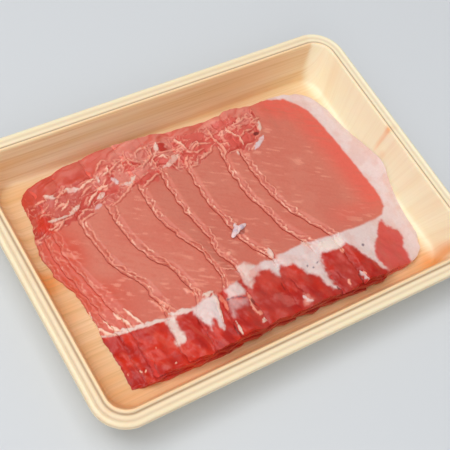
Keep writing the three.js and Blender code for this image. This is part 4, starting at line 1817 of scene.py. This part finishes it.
        # The lower face is painted paler, which lightens the lower half of each side: painted light against
        # its shade
        under = np.clip(self.PAINTED_LIGHT_UNDER * skin.colour, 0.0, 1.0)
        set_colours(piece, "tint", np.concatenate([skin.colour, under]))
        set_values(piece, "dull", np.concatenate([skin.dull, skin.dull]))
        piece.data.materials.append(self.finish)
        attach(piece, "root")
        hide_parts(f"slice_{k + 1}")
        return piece

    def fray(self, k: int, x: Array, y: Array, borders: Borders) -> tuple[Array, Array]:
        """Makes a slice's borders uneven, each slice in its own way.

        The near border bulges beside the fat's end, and the last slice's near right corner is cut back.

        Args:
            k: the slice's number, from 0.
            x, y: the places.
            borders: how far each place is from the slice's borders.

        Returns:
            The moved x and y.
        """
        rough = Noise(100 + k, 3)
        x = x + self.LEFT_FRAY * rough(y, y * 0 + 3.0, 3.2) * smooth((3.0 - borders.from_left) / 3.0)
        near = rough(x, x * 0 + 11.0, 5.0) * smooth((4.0 - borders.from_near) / 4.0)
        far = rough(x, x * 0 + 29.0, 6.0) * smooth((4.0 - borders.to_far) / 4.0)
        bulge = self.CAP_BULGE * hump(x - 78.0, 6.0) * smooth((10.0 - borders.from_near) / 10.0)
        cut = 0.0
        if k == len(self.pile.shape.slices) - 1:
            corner = smooth((6.0 - borders.to_right) / 6.0) * smooth((6.0 - borders.from_near) / 6.0)
            cut = self.CORNER_CUT * corner
        y = y + self.NEAR_FRAY * near - self.FAR_FRAY * far
        return x + bulge - cut, y - bulge + 0.3 * cut

    @staticmethod
    def body(name: str, points: Array, lower: Array, grid: tuple[int, int]) -> bpy.types.Object:
        """Closes the upper face with the lower face and the four sides.

        Args:
            name: the object's name.
            points: the upper face, column by column.
            lower: height of the lower face at the same places.
            grid: number of columns and rows.

        Returns:
            The closed body.
        """
        columns, rows = grid
        count = columns * rows
        under = points.copy()
        under[:, 2] = lower
        number = np.arange(count).reshape(columns, rows)
        around = np.concatenate([number[:-1, 0], number[-1, :-1], number[:0:-1, -1], number[0, :0:-1]])
        after = np.roll(around, -1)
        sides = np.stack([around + count, after + count, after, around], axis=1)
        faces = np.concatenate([grid_faces(columns, rows), grid_faces(columns, rows, count)[:, ::-1], sides])
        return new_object(name, np.concatenate([points, under]), (faces,))


class Scrap:
    """The loose scrap of white fat that lies on the pile."""

    MIDDLE = (-1.2, -8.6)
    CORNERS = (
        (5.3, 0.1), (5.9, 1.3), (3.4, 1.3), (1.4, 1.0), (0.6, 1.7), (0.1, 3.0), (-0.5, 2.2), (-0.8, 0.9),
        (-2.2, -0.2), (-3.4, -1.3), (-4.4, -2.6), (-3.4, -3.4), (-1.4, -2.3), (0.5, -1.7), (1.3, -1.2),
        (3.2, -0.8),
    )
    ANGLES = 120
    RINGS = 16
    THICKNESS = 1.1
    CLEAR = 0.2
    NEAR = 9.0
    RESTS_WITHIN = 1.1
    DIPS_AT_MOST = 0.3
    PALE: Colour = (234, 204, 202)
    SHADED: Colour = (204, 182, 194)

    def __init__(self, ground: Array, finish: bpy.types.Material) -> None:
        """Keeps the pile's upper points near the scrap, and the finish.

        Args:
            ground: the upper points of all slices.
            finish: the scrap's material.
        """
        near = np.hypot(ground[:, 0] - self.MIDDLE[0], ground[:, 1] - self.MIDDLE[1]) < self.NEAR
        self.ground = ground[near]
        self.finish = finish

    def plan(self) -> tuple[Array, Array, Array]:
        """Plan position of the scrap's points ring by ring.

        Returns:
            The x and the y of each point, and how far out it lies from 0 to 1.
        """
        corners = np.array(self.CORNERS)
        turns = np.unwrap(np.arctan2(corners[:, 1], corners[:, 0]))
        reach = np.hypot(corners[:, 0], corners[:, 1])
        angles = np.linspace(0, 2 * math.pi, self.ANGLES, endpoint=False)
        radius = np.interp(angles, turns, reach, period=2 * math.pi)
        for _ in range(3):
            radius = (np.roll(radius, 1) + 2 * radius + np.roll(radius, -1)) / 4
        outs = np.linspace(0.0, 1.0, self.RINGS + 1)[1:, None]
        x = self.MIDDLE[0] + outs * radius * np.cos(angles)
        y = self.MIDDLE[1] + outs * radius * np.sin(angles)
        return x.ravel(), y.ravel(), np.repeat(outs, self.ANGLES)

    def base(self, x: Array, y: Array) -> Array:
        """Height of the scrap's lower face: just clear of the highest point of the pile close by.

        Args:
            x, y: the places.

        Returns:
            The height at each place.
        """
        away = np.hypot(x[:, None] - self.ground[None, :, 0], y[:, None] - self.ground[None, :, 1])
        top = np.where(away < self.RESTS_WITHIN, self.ground[None, :, 2], -np.inf).max(axis=1)
        return np.maximum(top, top.mean() - self.DIPS_AT_MOST) + self.CLEAR

    def build(self) -> bpy.types.Object:
        """Makes the scrap: a lumpy body that thins out to its border.

        Returns:
            The scrap.
        """
        x, y, out = self.plan()
        x, y, out = np.append(x, self.MIDDLE[0]), np.append(y, self.MIDDLE[1]), np.append(out, 0.0)
        lower = self.base(x, y)
        lumps = Noise(61, 3)(x, y, 1.8)
        upper = lower + self.THICKNESS * np.sqrt(1.02 - out**4) * (0.85 + 0.45 * lumps)
        upper = np.where(out >= 1.0, lower, upper)
        count = len(x)
        points = np.concatenate([np.stack([x, y, upper], axis=1), np.stack([x, y, lower], axis=1)])
        corner = np.arange(self.ANGLES)
        after = (corner + 1) % self.ANGLES
        middle = np.full(self.ANGLES, count - 1)
        skin = grid_faces(self.RINGS, self.ANGLES, wrap=True)
        fan = np.stack([middle, corner, after], axis=1)
        rim = (self.RINGS - 1) * self.ANGLES
        side = np.stack([rim + after, rim + corner, rim + corner + count, rim + after + count], axis=1)
        quads = np.concatenate([skin, (skin + count)[:, ::-1], side])
        piece = new_object("white_fat_scrap", points, (quads, fan, (fan + count)[:, ::-1]), 80.0)
        shade = smooth(0.5 + lumps)[:, None]
        colour = linear(self.PALE) * (1 - shade) + linear(self.SHADED) * shade
        set_colours(piece, "tint", np.concatenate([colour, colour]))
        set_values(piece, "dull", np.full(2 * count, 0.4))
        piece.data.materials.append(self.finish)
        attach(piece, "root")
        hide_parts("fat_scrap")
        return piece


# The set


@dataclass(frozen=True)
class Lamp:
    """A square area light that faces the object."""

    name: str
    watts: float
    size_m: float
    at_m: Place

    def hang(self) -> None:
        """Adds the light to the scene."""
        light = bpy.data.lights.new(self.name, "AREA")
        light.energy = self.watts
        light.size = self.size_m
        lamp = bpy.data.objects.new(self.name, light)
        lamp.location = self.at_m
        lamp.rotation_euler = (-Vector(self.at_m)).to_track_quat("-Z", "Y").to_euler()
        bpy.context.scene.collection.objects.link(lamp)


@dataclass(frozen=True)
class Studio:
    """Plain pale floor, soft light from the far left, and the photo's camera."""

    floor: Colour = (208, 211, 214)
    sky: Colour = (250, 251, 253)
    sky_strength: float = 0.4
    key: Lamp = Lamp("key", 26.5, 1.6, (-1.4, 0.8, 2.8))
    top: Lamp = Lamp("top", 18.0, 1.6, (-0.4, 0.0, 2.0))
    fill: Lamp = Lamp("fill", 8.0, 1.5, (-0.9, -1.2, 1.3))
    eye_mm: Place = CAMERA_AT
    aim_mm: Place = (-9.02, -7.99, 22.6)
    roll_deg: float = 21.32
    lens_mm: float = 89.76
    film_mm: float = 36.0
    sees_from_m: float = 0.01
    floor_half_mm: float = 3000.0
    floor_roughness: float = 0.6

    def lay_floor(self) -> None:
        """A wide pale floor at the object's foot."""
        half = self.floor_half_mm
        corners = np.array([[-half, -half, 0.0], [half, -half, 0.0], [half, half, 0.0], [-half, half, 0.0]])
        floor = new_object("floor", corners, (np.array([[0, 1, 2, 3]]),))
        w = Wiring("pale_floor")
        w.shader.inputs["Base Color"].default_value = (*linear(self.floor), 1.0)
        w.shader.inputs["Roughness"].default_value = self.floor_roughness
        floor.data.materials.append(w.material)

    def hang_lights(self) -> None:
        """A soft key light from the far left, a soft light overhead, a weak fill light and an even sky."""
        world = bpy.data.worlds.new("sky")
        bpy.context.scene.world = world
        world.use_nodes = True
        sky = world.node_tree.nodes["Background"]
        sky.inputs["Color"].default_value = (*linear(self.sky), 1.0)
        sky.inputs["Strength"].default_value = self.sky_strength
        for lamp in (self.key, self.top, self.fill):
            lamp.hang()

    def set_camera(self) -> None:
        """The photo's camera: where it stood, what it aimed at, and how it was rolled."""
        lens = bpy.data.cameras.new("camera")
        lens.lens = self.lens_mm
        lens.sensor_width = self.film_mm
        lens.clip_start = self.sees_from_m
        camera = bpy.data.objects.new("camera", lens)
        eye, aim = Vector(self.eye_mm) * MM, Vector(self.aim_mm) * MM
        level = (aim - eye).to_track_quat("-Z", "Y").to_matrix().to_4x4()
        roll = Matrix.Rotation(math.radians(self.roll_deg), 4, "Z")
        camera.matrix_world = Matrix.Translation(eye) @ level @ roll
        bpy.context.scene.collection.objects.link(camera)
        bpy.context.scene.camera = camera
        bpy.context.scene.view_settings.view_transform = "Standard"


def main() -> None:
    """Builds the set and every piece."""
    logging.basicConfig(level=logging.INFO, format="%(message)s")
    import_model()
    studio = Studio()
    studio.set_camera()
    studio.lay_floor()
    studio.hang_lights()
    tray_shape = TrayShape()
    tray = Tray(tray_shape, FoamFinish().make()).build()
    LOG.info("%s: %d faces", tray.name, len(tray.data.polygons))
    meat = MeatFinish().make()
    pile = Pile(PileShape(), tray_shape)
    builder = SliceBuilder(pile, Anatomy(), Sight(), meat)
    for k in range(len(pile.spans)):
        piece = builder.build(k)
        LOG.info("%s: %d faces", piece.name, len(piece.data.polygons))
    scrap = Scrap(np.concatenate(builder.tops), meat).build()
    LOG.info("%s: %d faces", scrap.name, len(scrap.data.polygons))


if __name__ == "__main__":
    main()
